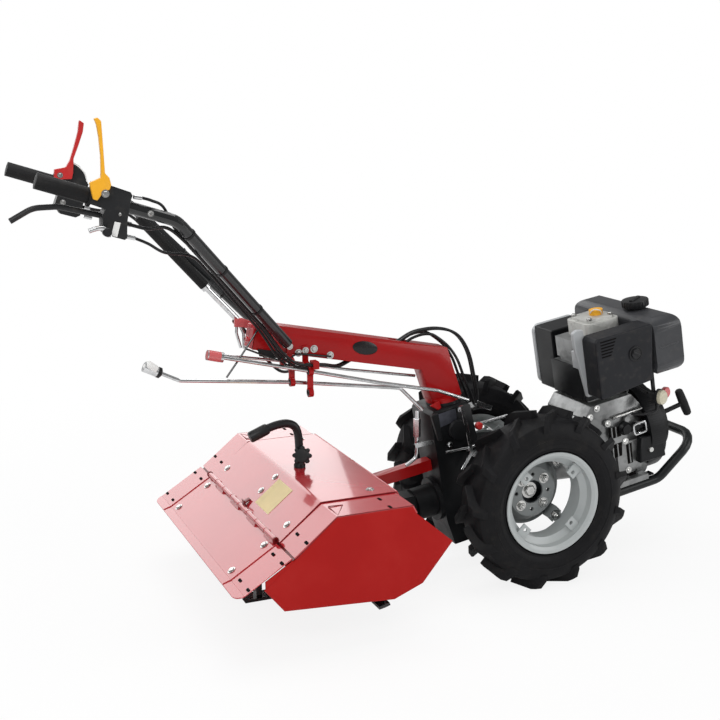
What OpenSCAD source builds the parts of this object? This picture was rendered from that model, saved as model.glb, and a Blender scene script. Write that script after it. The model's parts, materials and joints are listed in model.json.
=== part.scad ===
// Walking tractor: engine in front, gearbox on two wheels, rotary tiller behind,
// steering column with handlebars above. X points forward, Y left and Z up, in mm.
// Engine and gearbox are one unit, pitched nose up about the wheel axle.

/* [Wheels] */
// Outer diameter of a tyre over its lugs
tyre_d = 496; // [470:2:530]
// Width of a tyre across its sidewalls
tyre_w = 130; // [120:2:140]
// Distance between the wheels' centre planes
track = 432; // [420:2:500]
// Lugs in each of a tyre's two rows
lug_count = 13; // [9:1:16]
// Height of a tyre's lugs
lug_h = 20; // [10:1:24]
// Diameter of a rim over its flanges
rim_d = 284; // [276:2:296]
// Width of a rim over its flanges
rim_w = 112; // [104:2:118]
// Radius of a wheel disc's hub face
disc_r = 70; // [64:1:80]
// Diameter of the circle of a wheel disc's holes
disc_pcd = 100; // [92:1:116]
// Diameter of a wheel disc's holes
disc_hole_d = 11; // [8:0.5:13]
// Diameter of the wheel shafts
shaft_d = 28; // [22:1:34]

/* [Gearbox] */
// Angle by which engine and gearbox are pitched nose up
pitch = 10; // [6:1:12]
// Width of the gearbox case
gearbox_w = 120; // [104:2:130]
// Height of the gearbox's top above the wheel axle
gearbox_h = 262; // [250:1:280]
// Distance of the gearbox's rear face behind the axle
gearbox_rear = 222; // [214:1:236]

/* [Engine] */
// Height of the crankshaft above the wheel axle
crank_dz = 20; // [14:1:26]
// Distance of the crankcase's rear face ahead of the axle
engine_x = 232; // [226:1:240]
// Length of the crankcase
engine_len = 193; // [185:1:200]
// Width of the crankcase
engine_w = 196; // [180:2:210]
// Length of the fuel tank along X
tank_len = 92; // [80:1:100]
// Width of the fuel tank
tank_w = 400; // [380:2:420]
// Number of cooling fins on the cylinder
fin_count = 8; // [5:1:10]
// Diameter of the bumper tube
bumper_d = 28; // [22:1:34]

/* [Tiller] */
// Width of the tiller hood over its side plates
hood_w = 784; // [740:2:840]
// Width of the hood's centre cover
cover_w = 574; // [476:2:600]
// Height of the hood's level top above the ground
hood_top = 351; // [346:1:366]
// Distance of the rotor shaft behind the wheel axle
rotor_back = 560; // [552:1:570]
// Radius of the circle of the tine tips
rotor_r = 128; // [120:1:130]
// Height of the tine tips above the ground
tine_gap = 72; // [64:1:80]
// Diameter of the rotor shaft
rotor_shaft_d = 34; // [28:1:44]
// Thickness of the hood's sheets
sheet_t = 3; // [2:0.5:4]

/* [Column and handlebars] */
// Width of the column's square tube
column_w = 56; // [50:1:64]
// Depth of the column's beam
beam_h = 70; // [60:1:76]
// Depth of the column's leg
leg_h = 90; // [80:1:98]
// Length of the column's beam behind its mitre
beam_len = 522; // [480:2:560]
// Slope of the column's beam
beam_slope = 11.5; // [9:0.5:13]
// Lean of the column's leg
leg_lean = 19; // [16:1:22]
// Diameter of the handlebar tubes
bar_d = 28; // [25:1:32]
// Distance from the middle plane to a grip
grip_y = 246; // [230:2:270]
// Diameter of the handlebar grips
grip_d = 36; // [33:1:40]
// Diameter of the shift rods
rod_d = 10; // [8:0.5:12]

/* [Hidden] */
$fn = 48;

fit = 0.05;           // radial clearance of a shaft in its bore
seat = 0.3;           // clearance between pieces that seat without touching
unit_rise = 9;        // height of the pitched unit's own origin above the axle
axle_z = tyre_d / 2;
wheel_y = track / 2;
rotor_z = rotor_r + tine_gap;

// Place of a point of the pitched unit, x ahead of the axle and dz above it
function pw(x, dz) = [x * cos(pitch) - dz * sin(pitch),
                      axle_z + unit_rise + x * sin(pitch) + dz * cos(pitch)];

// Outline of a bent sheet of thickness t along a line of points
function normal_of(a, b) = let(v = (b - a) / norm(b - a)) [-v.y, v.x];
function mitre(pts, i, t) =
    let(last = len(pts) - 1,
        before = normal_of(pts[max(i - 1, 0)], pts[max(i, 1)]),
        after = normal_of(pts[min(i, last - 1)], pts[min(i + 1, last)]),
        m = (before + after) / norm(before + after))
    pts[i] + m * t / (m * before);
function strip(pts, t) = concat(pts, [for (i = [len(pts) - 1 : -1 : 0]) mitre(pts, i, t)]);

// Smooth line through points, with n steps between two of them
function spline_at(a, b, c, d, s) =
    (2 * b + (c - a) * s + (2 * a - 5 * b + 4 * c - d) * s * s
     + (3 * b - a - 3 * c + d) * s * s * s) / 2;
function smooth(pts, n) =
    let(last = len(pts) - 1)
    concat([for (i = [0 : last - 1], k = [0 : n - 1])
            spline_at(pts[max(i - 1, 0)], pts[i], pts[i + 1], pts[min(i + 2, last)], k / n)],
           [pts[last]]);

// The frame's origin lies on the ground under the middle of the machine's length
module placed() translate([frame_shift, 0, 0]) children();
module pitched() translate([0, 0, axle_z + unit_rise]) rotate([0, -pitch, 0]) children();
module across(w, y = 0) translate([0, y, 0]) rotate([90, 0, 0])
    linear_extrude(w, center = true) children();
module along_x(w, x = 0) translate([x, 0, 0]) rotate([90, 0, 90])
    linear_extrude(w, center = true) children();
module pin_y(r, w, y = 0) translate([0, y, 0]) rotate([90, 0, 0])
    cylinder(r = r, h = w, center = true);
module pin_x(r, w, x = 0) translate([x, 0, 0]) rotate([0, 90, 0])
    cylinder(r = r, h = w, center = true);
module both_sides() for (side = [0, 1]) mirror([0, side, 0]) children();

// Rectangle with round corners, about its centre
module round_rect(size, r) {
    square([size.x - 2 * r, size.y], center = true);
    square([size.x, size.y - 2 * r], center = true);
    for (x = [-1, 1], y = [-1, 1])
        translate([x * (size.x / 2 - r), y * (size.y / 2 - r)]) circle(r);
}

// Line of points with an arc of radius r at each inner point, in n steps
function unit(v) = v / norm(v);
function turn_at(pts, i) =
    acos(max(-1, min(1, unit(pts[i] - pts[i - 1]) * unit(pts[i + 1] - pts[i]))));
function arc_at(pts, i, r, n) =
    let(to_last = unit(pts[i - 1] - pts[i]),
        to_next = unit(pts[i + 1] - pts[i]),
        turn = turn_at(pts, i),
        middle = pts[i] + unit(to_last + to_next) * r / cos(turn / 2),
        x = unit(pts[i] + to_last * r * tan(turn / 2) - middle))
    [for (k = [0 : n]) middle + r * (cos(turn * k / n) * x - sin(turn * k / n) * to_last)];
function bent(pts, r, n = 5) =
    concat([pts[0]], len(pts) < 3 ? [] : [for (i = [1 : len(pts) - 2]) each arc_at(pts, i, r, n)],
           [pts[len(pts) - 1]]);

module segment(a, b, d) {
    v = b - a;
    translate(a) rotate([0, acos(v.z / norm(v)), atan2(v.y, v.x)])
        cylinder(d = d, h = norm(v));
}

// Tube swept along a line of points, with rings that stand across it
function runs(pts) = [for (i = [0 : len(pts) - 1])
    unit(pts[min(i + 1, len(pts) - 1)] - pts[max(i - 1, 0)])];
function carried(ts, i, u) =
    i == len(ts) ? [] : let(v = unit(u - ts[i] * (u * ts[i]))) concat([v], carried(ts, i + 1, v));
module cable(pts, d, sides = 8) {
    last = len(pts) - 1;
    ts = runs(pts);
    us = carried(ts, 0, abs(ts[0].y) < 0.9 ? [0, 1, 0] : [0, 0, 1]);
    rings = [for (i = [0 : last], k = [0 : sides - 1])
        pts[i] + d / 2 * (cos(360 * k / sides) * us[i] + sin(360 * k / sides) * cross(ts[i], us[i]))];
    polyhedron(rings, concat(
        [[for (k = [0 : sides - 1]) k]],
        [[for (k = [sides - 1 : -1 : 0]) last * sides + k]],
        [for (i = [0 : last - 1], k = [0 : sides - 1])
            let(a = i * sides + k, b = i * sides + (k + 1) % sides)
            each [[a, b + sides, b], [a, a + sides, b + sides]]]));
}
module bar(pts, d, r = 30, sides = 16) cable(bent(pts, r), d, sides);

// Wheels, each about its own axis with its outer side towards +Z
rim_seat_r = rim_d / 2 - 15;
rim_t = 3;
rim_lug_t = 5;
tyre_wall = 9;
lug_w = 22;
lug_sweep = 15;       // angle that a lug turns through from the tread's middle to its end

module tyre_shape() {
    r = tyre_d / 2 - lug_h;
    half = tyre_w / 2;
    bead_r = rim_seat_r + 1 + seat;
    bead_z = rim_w / 2 - 6 - 2 * seat;
    outline = [[bead_r, bead_z], [bead_r + 14, bead_z + 1], [bead_r + 36, half - 1],
               [(bead_r + r) / 2 + 6, half], [r - 24, half - 5], [r - 8, half - 14],
               [r - 2, half - 30], [r, 0]];
    inner = [[bead_r, bead_z - tyre_wall], [bead_r + 18, bead_z - tyre_wall + 1],
             [bead_r + 38, half - tyre_wall - 2], [(bead_r + r) / 2 + 5, half - tyre_wall],
             [r - 30, half - tyre_wall - 6], [r - tyre_wall - 6, half - tyre_wall - 16],
             [r - tyre_wall - 2, 0]];
    section = concat(outline, [for (i = [len(outline) - 2 : -1 : 0]) [outline[i].x, -outline[i].y]],
                     [for (p = inner) [p.x, -p.y]],
                     [for (i = [len(inner) - 2 : -1 : 0]) inner[i]]);
    rotate_extrude($fn = 72) polygon(section);
    for (row = [0, 1], i = [0 : lug_count - 1])
        rotate(360 * (i + row / 2) / lug_count) mirror([0, 0, row]) tyre_lug(r, half);
}

// One lug: a bar that runs askew from the tread's middle over the shoulder
module tyre_lug(r, half) {
    top = r + lug_h;
    stations = [[4, top, r - 6], [half - 22, top, r - 6], [half - 12, top - 5, r - 14],
                [half - 3, r - 10, r - 26]];
    rings = [for (i = [0 : len(stations) - 1])
        let(s = stations[i], turn = lug_sweep * (s.x - 4) / (half - 7))
        each [for (c = [[s.z, -1], [s.y, -0.72], [s.y, 0.72], [s.z, 1]])
            let(a = turn + c.y * lug_w / 2 / c.x * 180 / PI)
            [c.x * cos(a), c.x * sin(a), s.x]]];
    last = len(stations) - 1;
    polyhedron(rings, concat([[0, 1, 2], [0, 2, 3]],
        [[last * 4, last * 4 + 2, last * 4 + 1], [last * 4, last * 4 + 3, last * 4 + 2]],
        [for (i = [0 : last - 1], k = [0 : 3])
            let(a = i * 4 + k, b = i * 4 + (k + 1) % 4)
            each [[a, a + 4, b + 4], [a, b + 4, b]]]));
}

module rim_shape() {
    half = rim_w / 2;
    well_r = rim_seat_r - 17;
    path = [[rim_d / 2, half], [rim_d / 2 - 8, half - 2], [rim_seat_r + 1, half - 6],
            [rim_seat_r, half - 26], [well_r, half - 36]];
    section = strip(concat(path, [for (i = [len(path) - 1 : -1 : 0]) [path[i].x, -path[i].y]]),
                    -rim_t);
    rotate_extrude($fn = 72) polygon(section);
    lug_out = rim_seat_r - rim_t;
    for (i = [0 : 3]) rotate(90 * i + 45) {
        translate([lug_out - 34, -15, half - 24]) difference() {
            cube([34 + rim_t, 30, rim_lug_t]);
            translate([12, 15, -1]) cylinder(d = disc_hole_d, h = rim_lug_t + 2);
        }
        translate([lug_out - 22, -15, -half]) difference() {
            cube([22 + rim_t, 30, rim_lug_t]);
            translate([8, 15, -1]) cylinder(d = disc_hole_d, h = rim_lug_t + 2);
        }
    }
}

disc_z = -rim_w / 2 + 6;     // height of the hub face on the wheel's axis
disc_t = 5;
hub_hole_r = 33;
disc_drop = 36;              // depth of the wheel disc's skirt

module disc_shape() {
    skirt_r = disc_r + 25;
    arm_end = rim_seat_r - rim_t - 2;
    arm_z = -rim_w / 2;
    bolt_r = arm_end - 12;
    difference() {
        union() {
            rotate_extrude() polygon(strip([[hub_hole_r, disc_z], [disc_r, disc_z],
                [skirt_r, disc_z - disc_drop], [skirt_r + 8, disc_z - disc_drop - 1]], -disc_t));
            for (i = [0 : 3]) rotate(90 * i + 45) rotate([90, 0, 0])
                linear_extrude(40, center = true)
                polygon(strip([[skirt_r, disc_z - disc_drop - 3],
                               [arm_end - 24, arm_z], [arm_end, arm_z]], -disc_t));
        }
        for (i = [0 : 3]) rotate(90 * i) translate([disc_pcd / 2, 0, disc_z - 20])
            cylinder(d = disc_hole_d, h = 40);
    }
    for (i = [0 : 3]) rotate(90 * i + 45) {
        translate([disc_pcd / 2, 0, disc_z]) cylinder(d = 19, h = 8, $fn = 6);
        translate([bolt_r, 0, arm_z - 3]) cylinder(d = disc_hole_d - 2, h = rim_lug_t + 6);
        translate([bolt_r, 0, arm_z + rim_lug_t]) cylinder(d = 19, h = 8, $fn = 6);
    }
}

housing_end = wheel_y - rim_w / 2 - 42;   // distance from the middle plane to a housing's end

module hub_shape() {
    flange_z = disc_z - disc_t;
    tube_end = housing_end + 3 - wheel_y;
    difference() {
        union() {
            translate([0, 0, flange_z - 8]) cylinder(r = disc_r - 4, h = 8);
            translate([0, 0, tube_end]) cylinder(r = hub_hole_r + 4, h = flange_z - tube_end);
        }
        translate([0, 0, flange_z - 28]) cylinder(r = hub_hole_r - 1, h = 60);
        for (i = [0 : 3]) rotate(90 * i) translate([disc_pcd / 2, 0, flange_z - 20])
            cylinder(d = disc_hole_d, h = 40);
    }
    translate([0, 0, tube_end - 46]) cylinder(d = shaft_d, h = flange_z - 10 - tube_end + 46);
    translate([0, 0, flange_z - 28]) cylinder(d = 30, h = 12, $fn = 6);
}

module right_wheel() translate([0, -wheel_y, axle_z]) rotate([90, 0, 0]) children();
module left_wheel() mirror([0, 1, 0]) right_wheel() children();

module tyre_right() color([0.12, 0.12, 0.13]) right_wheel() tyre_shape();
module tyre_left() color([0.12, 0.12, 0.13]) left_wheel() tyre_shape();
module rim_right() color([0.62, 0.64, 0.65]) right_wheel() rim_shape();
module rim_left() color([0.62, 0.64, 0.65]) left_wheel() rim_shape();
module disc_right() color([0.55, 0.57, 0.58]) right_wheel() disc_shape();
module disc_left() color([0.55, 0.57, 0.58]) left_wheel() disc_shape();
module hub_right() color([0.2, 0.2, 0.21]) right_wheel() hub_shape();
module hub_left() color([0.2, 0.2, 0.21]) left_wheel() hub_shape();

// Gearbox: case about the axle, upright housing under the column, drive barrel ahead
swivel_x = -150;              // place of the column's swivel, behind the axle
swivel_r = 50;
swivel_pin_r = 12;
swivel_rise = 8;
bell_x = 112;
bell_r = 104;
input_r = 66;

upright_len = 122;
upright_batter = 8;
function upright_front(dz) =
    -gearbox_rear + upright_len + upright_batter * (gearbox_h - 12 - dz) / (gearbox_h - 140);

module on_axle() translate([-unit_rise * sin(pitch), 0, -unit_rise * cos(pitch)]) children();

module gearbox_case() color([0.1, 0.1, 0.11]) pitched() {
    half = gearbox_w / 2;
    difference() {
        union() {
            across(gearbox_w) polygon([
                [-gearbox_rear, -60], [-gearbox_rear + 14, -138], [-96, -138], [-60, -84],
                [62, -84], [92, -46], [bell_x - 20, 84], [40, 100],
                [upright_front(128), 128], [upright_front(gearbox_h - 12), gearbox_h - 12],
                [-gearbox_rear + upright_len - 10, gearbox_h],
                [-gearbox_rear + 10, gearbox_h], [-gearbox_rear, gearbox_h - 10]]);
            on_axle() pin_y(86, gearbox_w + 16);
            translate([0, 0, crank_dz]) pin_x(input_r, bell_x - 20, (bell_x - 20) / 2 + 20);
            translate([0, 0, crank_dz]) pin_x(input_r + 16, 14, bell_x - 7);
            translate([-40, 0, 76]) pin_y(36, gearbox_w + 12);
            translate([-gearbox_rear + 7, 0, -10]) pin_x(52, 14);
        }
        on_axle() both_sides() translate([0, half, 0]) pin_y(shaft_d / 2 + fit, 200);
    }
    translate([swivel_x, 0, gearbox_h]) {
        cylinder(r = swivel_r, h = swivel_rise);
        cylinder(r = swivel_pin_r, h = swivel_rise + foot_t - 1);
    }
}

module axle_housings() color([0.12, 0.12, 0.13]) both_sides() translate([0, 0, axle_z])
    difference() {
        union() {
            start = gearbox_w / 2 + 8 + seat;
            pin_y(44, housing_end - start, (housing_end + start) / 2);
            pin_y(60, 10, start + 5);
        }
        pin_y(shaft_d / 2 + fit, 400);
    }

// Engine
case_low = -98;
rail_drop = 8;                // depth of the foot rails below the crankcase
case_top = 150;
head_x = 268;
head_len = 128;
head_w = 136;
head_low = 150;
head_top = 330;

module engine_block() color([0.62, 0.63, 0.64]) pitched() {
    difference() {
        across(engine_w) polygon([
            [engine_x, case_low + 30], [engine_x + 24, case_low],
            [engine_x + engine_len - 8, case_low], [engine_x + engine_len, case_low + 10],
            [engine_x + engine_len, 110], [engine_x + engine_len - 30, case_top],
            [engine_x + 26, case_top], [engine_x, 120]]);
        for (i = [0 : 3]) translate([engine_x + 34 + i * 38, 0, case_low + 22])
            both_sides() translate([0, engine_w / 2, 0]) cube([22, 12, 24], center = true);
    }
    translate([0, 0, crank_dz]) rotate([0, 90, 0]) translate([0, 0, bell_x])
        cylinder(r1 = input_r + 16, r2 = bell_r, h = engine_x - bell_x);
    both_sides() across(24, 64) polygon(strip([[engine_x + engine_len - 34, case_top - 6],
        [tank_x + 12, tank_low], [tank_x + tank_len - tank_corner, tank_low]], -4));
    both_sides() translate([engine_x + 52, engine_w / 2 + 6, case_low - rail_drop])
        cube([118, 30, 16]);
    both_sides() translate([engine_x + 30, engine_w / 2 - 30, case_low - 10])
        cube([150, 40, 12]);
    translate([engine_x + 100, -engine_w / 2 - 6, 42]) rotate([90, 0, 0])
        linear_extrude(12, center = true) round_rect([58, 44], 18);
    translate([engine_x + 130, -engine_w / 2 - 6, -30]) rotate([90, 0, 0])
        linear_extrude(12, center = true) round_rect([84, 92], 14);
}

module cylinder_fins() {
    fin_step = (head_top - 60 - head_low - 14) / fin_count;
    for (i = [0 : fin_count - 1])
        translate([head_x - 8, -head_w / 2 - 8, head_low + 14 + i * fin_step])
            cube([head_len + 16, head_w + 16, 4]);
}

module cylinder_node() color([0.6, 0.61, 0.62]) pitched() {
    translate([head_x + 6, -head_w / 2 + 6, head_low]) cube([head_len - 12, head_w - 12, head_top - 60 - head_low]);
    translate([head_x, -head_w / 2, head_top - 60]) cube([head_len, head_w, 60]);
    cylinder_fins();
}

module rocker_cover() color([0.78, 0.78, 0.76]) pitched()
    translate([head_x + head_len / 2 + 26, 0, head_top]) {
        linear_extrude(44) round_rect([112, 116], 18);
        translate([0, 0, 44]) linear_extrude(8) round_rect([92, 94], 14);
    }

module oil_cap() color([0.93, 0.66, 0.15]) pitched()
    translate([head_x + head_len / 2 + 40, 0, head_top + 52]) cylinder(d = 40, h = 14);

tank_x = engine_x + engine_len;
tank_low = 214;
tank_top = 382;
tank_corner = 26;

// Corners of a rectangle rounded by short straight steps
function stepped_rect(size, r, n = 6) =
    [for (c = [[1, 1, 0], [-1, 1, 90], [-1, -1, 180], [1, -1, 270]], k = [0 : n])
        [c.x * (size.x / 2 - r), c.y * (size.y / 2 - r)]
        + r * [cos(c.z + 90 * k / n), sin(c.z + 90 * k / n)]];

module fuel_tank() color([0.27, 0.28, 0.3]) pitched() intersection() {
    across(tank_w) translate([tank_x + tank_len / 2, (tank_low + tank_top) / 2])
        round_rect([tank_len, tank_top - tank_low], tank_corner);
    along_x(tank_len + 2, tank_x + tank_len / 2) translate([0, (tank_low + tank_top) / 2])
        polygon(stepped_rect([tank_w, tank_top - tank_low], tank_corner + 14));
}

module fuel_cap() color([0.13, 0.13, 0.14]) pitched()
    translate([tank_x + tank_len / 2 + 4, -50, tank_top]) {
        cylinder(d = 58, h = 7);
        translate([0, 0, 7]) cylinder(d = 75, h = 19);
    }

cleaner_x = 232;
cleaner_low = 200;
cleaner_top = 375;
cleaner_in = 132;             // distance from the middle plane to the air cleaner's inner face
cleaner_out = tank_w / 2;

module air_cleaner() color([0.15, 0.15, 0.16]) pitched()
    across(cleaner_out - cleaner_in, -(cleaner_out + cleaner_in) / 2) polygon([
        [cleaner_x, cleaner_low], [tank_x - 20, cleaner_low + 14], [tank_x - 2, cleaner_top - 6],
        [tank_x - 8, cleaner_top], [cleaner_x + 8, cleaner_top], [cleaner_x, cleaner_top - 8]]);

module air_duct() color([0.72, 0.73, 0.73]) pitched() {
    across(14, -cleaner_in + 7) polygon([
        [cleaner_x - 25, cleaner_top + 12], [cleaner_x - 9, cleaner_top + 20],
        [cleaner_x + 8, cleaner_top + 16], [cleaner_x + 30, cleaner_low - 6],
        [cleaner_x, cleaner_low - 6], [cleaner_x - 24, cleaner_top - 26]]);
    translate([cleaner_x, -cleaner_in, 270]) cube([80, cleaner_in - head_w / 2, 50]);
}

muffler_x = 272;
muffler_len = 148;
muffler_low = 150;
muffler_top = 338;
muffler_in = 96;
muffler_out = 192;

module muffler() color([0.1, 0.1, 0.1]) pitched() {
    translate([muffler_x, muffler_in, muffler_low])
        cube([muffler_len, muffler_out - muffler_in, muffler_top - muffler_low]);
    translate([muffler_x + 40, head_w / 2, head_top - 56]) cube([60, muffler_in - head_w / 2, 46]);
}

module muffler_guard() color([0.72, 0.73, 0.74]) pitched()
    across(14, muffler_out + 7) translate([muffler_x + muffler_len / 2, (muffler_low + muffler_top) / 2])
        round_rect([muffler_len + 4, muffler_top - muffler_low], 24);

fan_r = 138;
recoil_r = 98;
recoil_len = 39;

module fan_housing() color([0.12, 0.12, 0.13]) pitched() translate([tank_x, 0, crank_dz]) {
    pin_x(fan_r, 50, 25);
    pin_x(recoil_r, recoil_len, 50 + recoil_len / 2);
}

module starter_grip() color([0.08, 0.08, 0.08]) pitched() {
    face = tank_x + 50 + recoil_len;
    translate([face, -80, 56]) pin_x(9, 74, 37);
    segment([face + 66, -80, 103], [face + 89, -80, 27], 20);
}

module fuel_filter() color([0.85, 0.82, 0.7]) pitched() {
    translate([tank_x + 18, -150, 146]) pin_y(27, 40);
    translate([tank_x + 18, -150, 146]) cylinder(d = 14, h = tank_low - 146 - seat);
}

bumper_y = 124;
bumper_z = case_low - rail_drop - bumper_d / 2;
bumper_reach = 355;           // distance of the bumper's front run ahead of the crankcase's rear face
bumper_rise = 90;

module bumper() color([0.13, 0.14, 0.14]) pitched() {
    base = engine_x + 20;
    bar([[base, -bumper_y, bumper_z], [engine_x + 210, -bumper_y, bumper_z],
         [engine_x + bumper_reach, -bumper_y, bumper_z + bumper_rise],
         [engine_x + bumper_reach, bumper_y, bumper_z + bumper_rise],
         [engine_x + 210, bumper_y, bumper_z], [base, bumper_y, bumper_z]], bumper_d, 62);
}

cable_end_x = -58;
cable_end_dz = 226;

module gear_links() color([0.6, 0.61, 0.62]) pitched() {
    top = cable_end_dz - seat;
    across(44) polygon([[upright_front(top - 10), top - 10], [cable_end_x + 18, top - 10],
        [cable_end_x + 18, top], [upright_front(top), top]]);
    across(4, -gearbox_w / 2 - 8) polygon([[-150, 20], [-134, 12], [-92, 60], [-96, 76], [-112, 74]]);
    translate([-104, -gearbox_w / 2 - 3, 62]) pin_y(10, 6);
}

// Tiller: gear case, arm to the hood, hood sheets, side plates and depth spur
pto_dz = -10;
pto_r = 46;
arm_top = 112;
arm_h = 32;
arm_w = 32;

module tiller_case() color([0.11, 0.11, 0.12]) difference() {
    flange = pw(-gearbox_rear, pto_dz);
    neck = pw(-gearbox_rear - 70, pto_dz);
    union() {
        pitched() translate([0, 0, pto_dz]) pin_x(pto_r, 70, -gearbox_rear - 35);
        pitched() translate([0, 0, pto_dz]) pin_x(pto_r + 16, 12, -gearbox_rear - 6);
        across(56) polygon([
            neck + [26, 38], neck + [-40, 34], [-rotor_back, rotor_z + 52],
            [-rotor_back - 40, rotor_z + 34], [-rotor_back - 52, rotor_z],
            [-rotor_back - 36, rotor_z - 38], [-rotor_back, rotor_z - 52],
            [-rotor_back + 60, rotor_z - 40], neck + [0, -42], neck + [30, -30]]);
        translate([-rotor_back, 0, rotor_z]) pin_y(46, 76);
    }
    translate([-rotor_back, 0, rotor_z]) pin_y(rotor_shaft_d / 2 + fit, 200);
}

hood_front = -471;
hood_crease = -674;
hinge_x = -790;
hinge_drop = 82;
hinge_z = hood_top - hinge_drop;
hinge_at = [hinge_x, hinge_z];
fold = hinge_at + [5, -7];    // place where cover and flap meet under the hinge's rod
fold_gap = 3;
cover_run = unit([hood_crease, hood_top] - fold);
cover_end = fold + fold_gap * cover_run;

module tiller_arm() color([0.72, 0.08, 0.08]) {
    rear = 400;
    across(arm_w) polygon([
        pw(-gearbox_rear - seat, arm_top - arm_h), pw(-gearbox_rear - seat, arm_top), pw(-rear, arm_top),
        [hood_front + 8, hood_top - sheet_t], [hood_front - 80, hood_top - sheet_t],
        [hood_front - 24, hood_top - 20], pw(-rear, arm_top - arm_h)]);
}

cover_line = [[hood_front + 12, hood_top - 22], [hood_front, hood_top], [hood_crease, hood_top],
              cover_end];
wing_line = [for (i = [0 : 3]) mitre(cover_line, i, sheet_t)];
plate_line = [for (i = [0 : 3]) mitre(wing_line, i, sheet_t)];
// Height of the covers' underside behind the crease
function under_cover(x) =
    plate_line[2].y + (plate_line[3].y - plate_line[2].y) * (x - plate_line[2].x)
    / (plate_line[3].x - plate_line[2].x) + sheet_t * norm(cover_end - cover_line[2])
    / (cover_line[2].x - cover_end.x);

// Knuckle of the hinge, rolled from a sheet that runs off along the direction run
module knuckle(y, edge, run) {
    out = [-abs(run.y), abs(run.x)];
    across(knuckle_len, y) polygon([edge + 18 * run, edge, hinge_at, hinge_at + (knuckle_r - 0.5) * out]);
    translate([hinge_x, y, hinge_z]) pin_y(knuckle_r, knuckle_len);
}
module knuckle_gaps(places) for (y = places) translate([hinge_x, y, hinge_z])
    pin_y(knuckle_r + 3, knuckle_len + 6);
module hinge_bore() translate([hinge_x, 0, hinge_z]) pin_y(hinge_r + fit, hood_w);

module hood_cover() color([0.86, 0.7, 0.71]) difference() {
    union() {
        difference() {
            across(cover_w) polygon(strip(cover_line, sheet_t));
            translate([hood_front - 4, -arm_w / 2 - 1, hood_top - 40])
                cube([30, arm_w + 2, 40 - sheet_t]);
            knuckle_gaps(flap_knuckles);
        }
        for (y = cover_knuckles) knuckle(y, cover_end, cover_run);
    }
    hinge_bore();
}

wing_in = cover_w / 2 - 20;
wing_out = hood_w / 2;
plate_t = 4;

module wing(side) across(wing_out - wing_in, side * (wing_in + wing_out) / 2)
    polygon(strip(wing_line, sheet_t));
module hood_wing_right() color([0.86, 0.7, 0.71]) wing(-1);
module hood_wing_left() color([0.86, 0.7, 0.71]) wing(1);

module side_plate(side) across(plate_t, side * (wing_out - plate_t / 2)) polygon(concat(
    [for (p = [[-853, 158], [-806, 217], [-522, 236], [-447, 207], [-366, 110]])
        [p.x, hood_top - p.y]], [for (i = [0 : 2]) plate_line[i]]));
module side_plate_right() color([0.68, 0.13, 0.12]) side_plate(-1);
module side_plate_left() color([0.68, 0.13, 0.12]) side_plate(1);

hinge_r = 5;
knuckle_r = 10;
knuckle_len = 40;
loop_w = 8;
knuckle_step = (cover_w - 2 * loop_w - knuckle_len - 14) / 6;
flap_knuckles = [for (i = [-2, 0, 2]) i * knuckle_step];
cover_knuckles = [for (i = [-3, -1, 1, 3]) i * knuckle_step];

module hinge_rod() color([0.75, 0.3, 0.3]) translate([hinge_x, 0, hinge_z]) {
    pin_y(hinge_r, cover_w);
    for (side = [-1, 1]) pin_y(knuckle_r - 1.5, loop_w, side * (cover_w / 2 - loop_w / 2));
}

flap_edge = [-906, hood_top - 164];
flap_lip = [-928, hood_top - 171];
flap_run = unit(flap_edge - fold);
flap_start = fold + fold_gap * flap_run;

module hood_flap() color([0.86, 0.7, 0.71]) difference() {
    union() {
        difference() {
            across(hood_w) polygon(strip([flap_start, flap_edge, flap_lip], sheet_t));
            knuckle_gaps(cover_knuckles);
            for (side = [-1, 1]) translate([hinge_x, side * (cover_w - loop_w) / 2, hinge_z])
                pin_y(knuckle_r + 3, loop_w + 6);
        }
        for (y = flap_knuckles) knuckle(y, flap_start, flap_run);
    }
    hinge_bore();
}

handle_x = -622;

function over(x, z) = [x, 0, hood_top + z];
module depth_handle() color([0.1, 0.1, 0.1]) {
    translate(over(handle_x, 0)) cylinder(d = 32, h = 26);
    translate(over(-617, 36)) rotate([0, -12, 0]) cylinder(d = 52, h = 22, center = true);
    bar([over(handle_x, 20), over(-629, 127), over(-700, 121), over(-750, 101)], 22, 34);
    segment(over(-708, 118), over(-761, 97), 31);
}

spur_x = -748;

module depth_spur() color([0.16, 0.16, 0.17]) {
    across(30) polygon([[spur_x - 8, 4], [spur_x + 8, 4],
        [spur_x + 8, under_cover(spur_x + 8) - seat], [spur_x - 8, under_cover(spur_x - 8) - seat]]);
    across(50) polygon([[spur_x - 50, 14], [spur_x - 42, 0], [spur_x + 40, 0], [spur_x + 54, 22],
        [spur_x + 48, 24], [spur_x + 36, 8], [spur_x - 38, 8], [spur_x - 46, 18]]);
}

// Rotor: shaft with flanges and bent blades
flange_y = [98, 200, 302];
blade_count = 4;
blade_t = 6;

module blade(y, hand, turn) rotate([0, turn, 0]) {
    across(blade_t, y) polygon([
        [-18, 20], [18, 20], [26, rotor_r - 34], [14, rotor_r - 6],
        [-16, rotor_r - 6], [-14, rotor_r - 40]]);
    rotate([90, 0, 0]) translate([0, 0, -y - (hand > 0 ? 50 : 0)]) rotate(82)
        rotate_extrude(angle = 14) translate([rotor_r - 8, 0]) square([8, 50]);
}

module rotor() color([0.14, 0.14, 0.15]) translate([-rotor_back, 0, rotor_z]) {
    pin_y(rotor_shaft_d / 2, 720);
    for (side = [-1, 1], y = flange_y) {
        pin_y(44, 8, side * y);
        for (i = [0 : blade_count - 1])
            blade(side * y, (i % 2 == 0 ? 1 : -1), 360 * i / blade_count + y / 4);
    }
}

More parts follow.
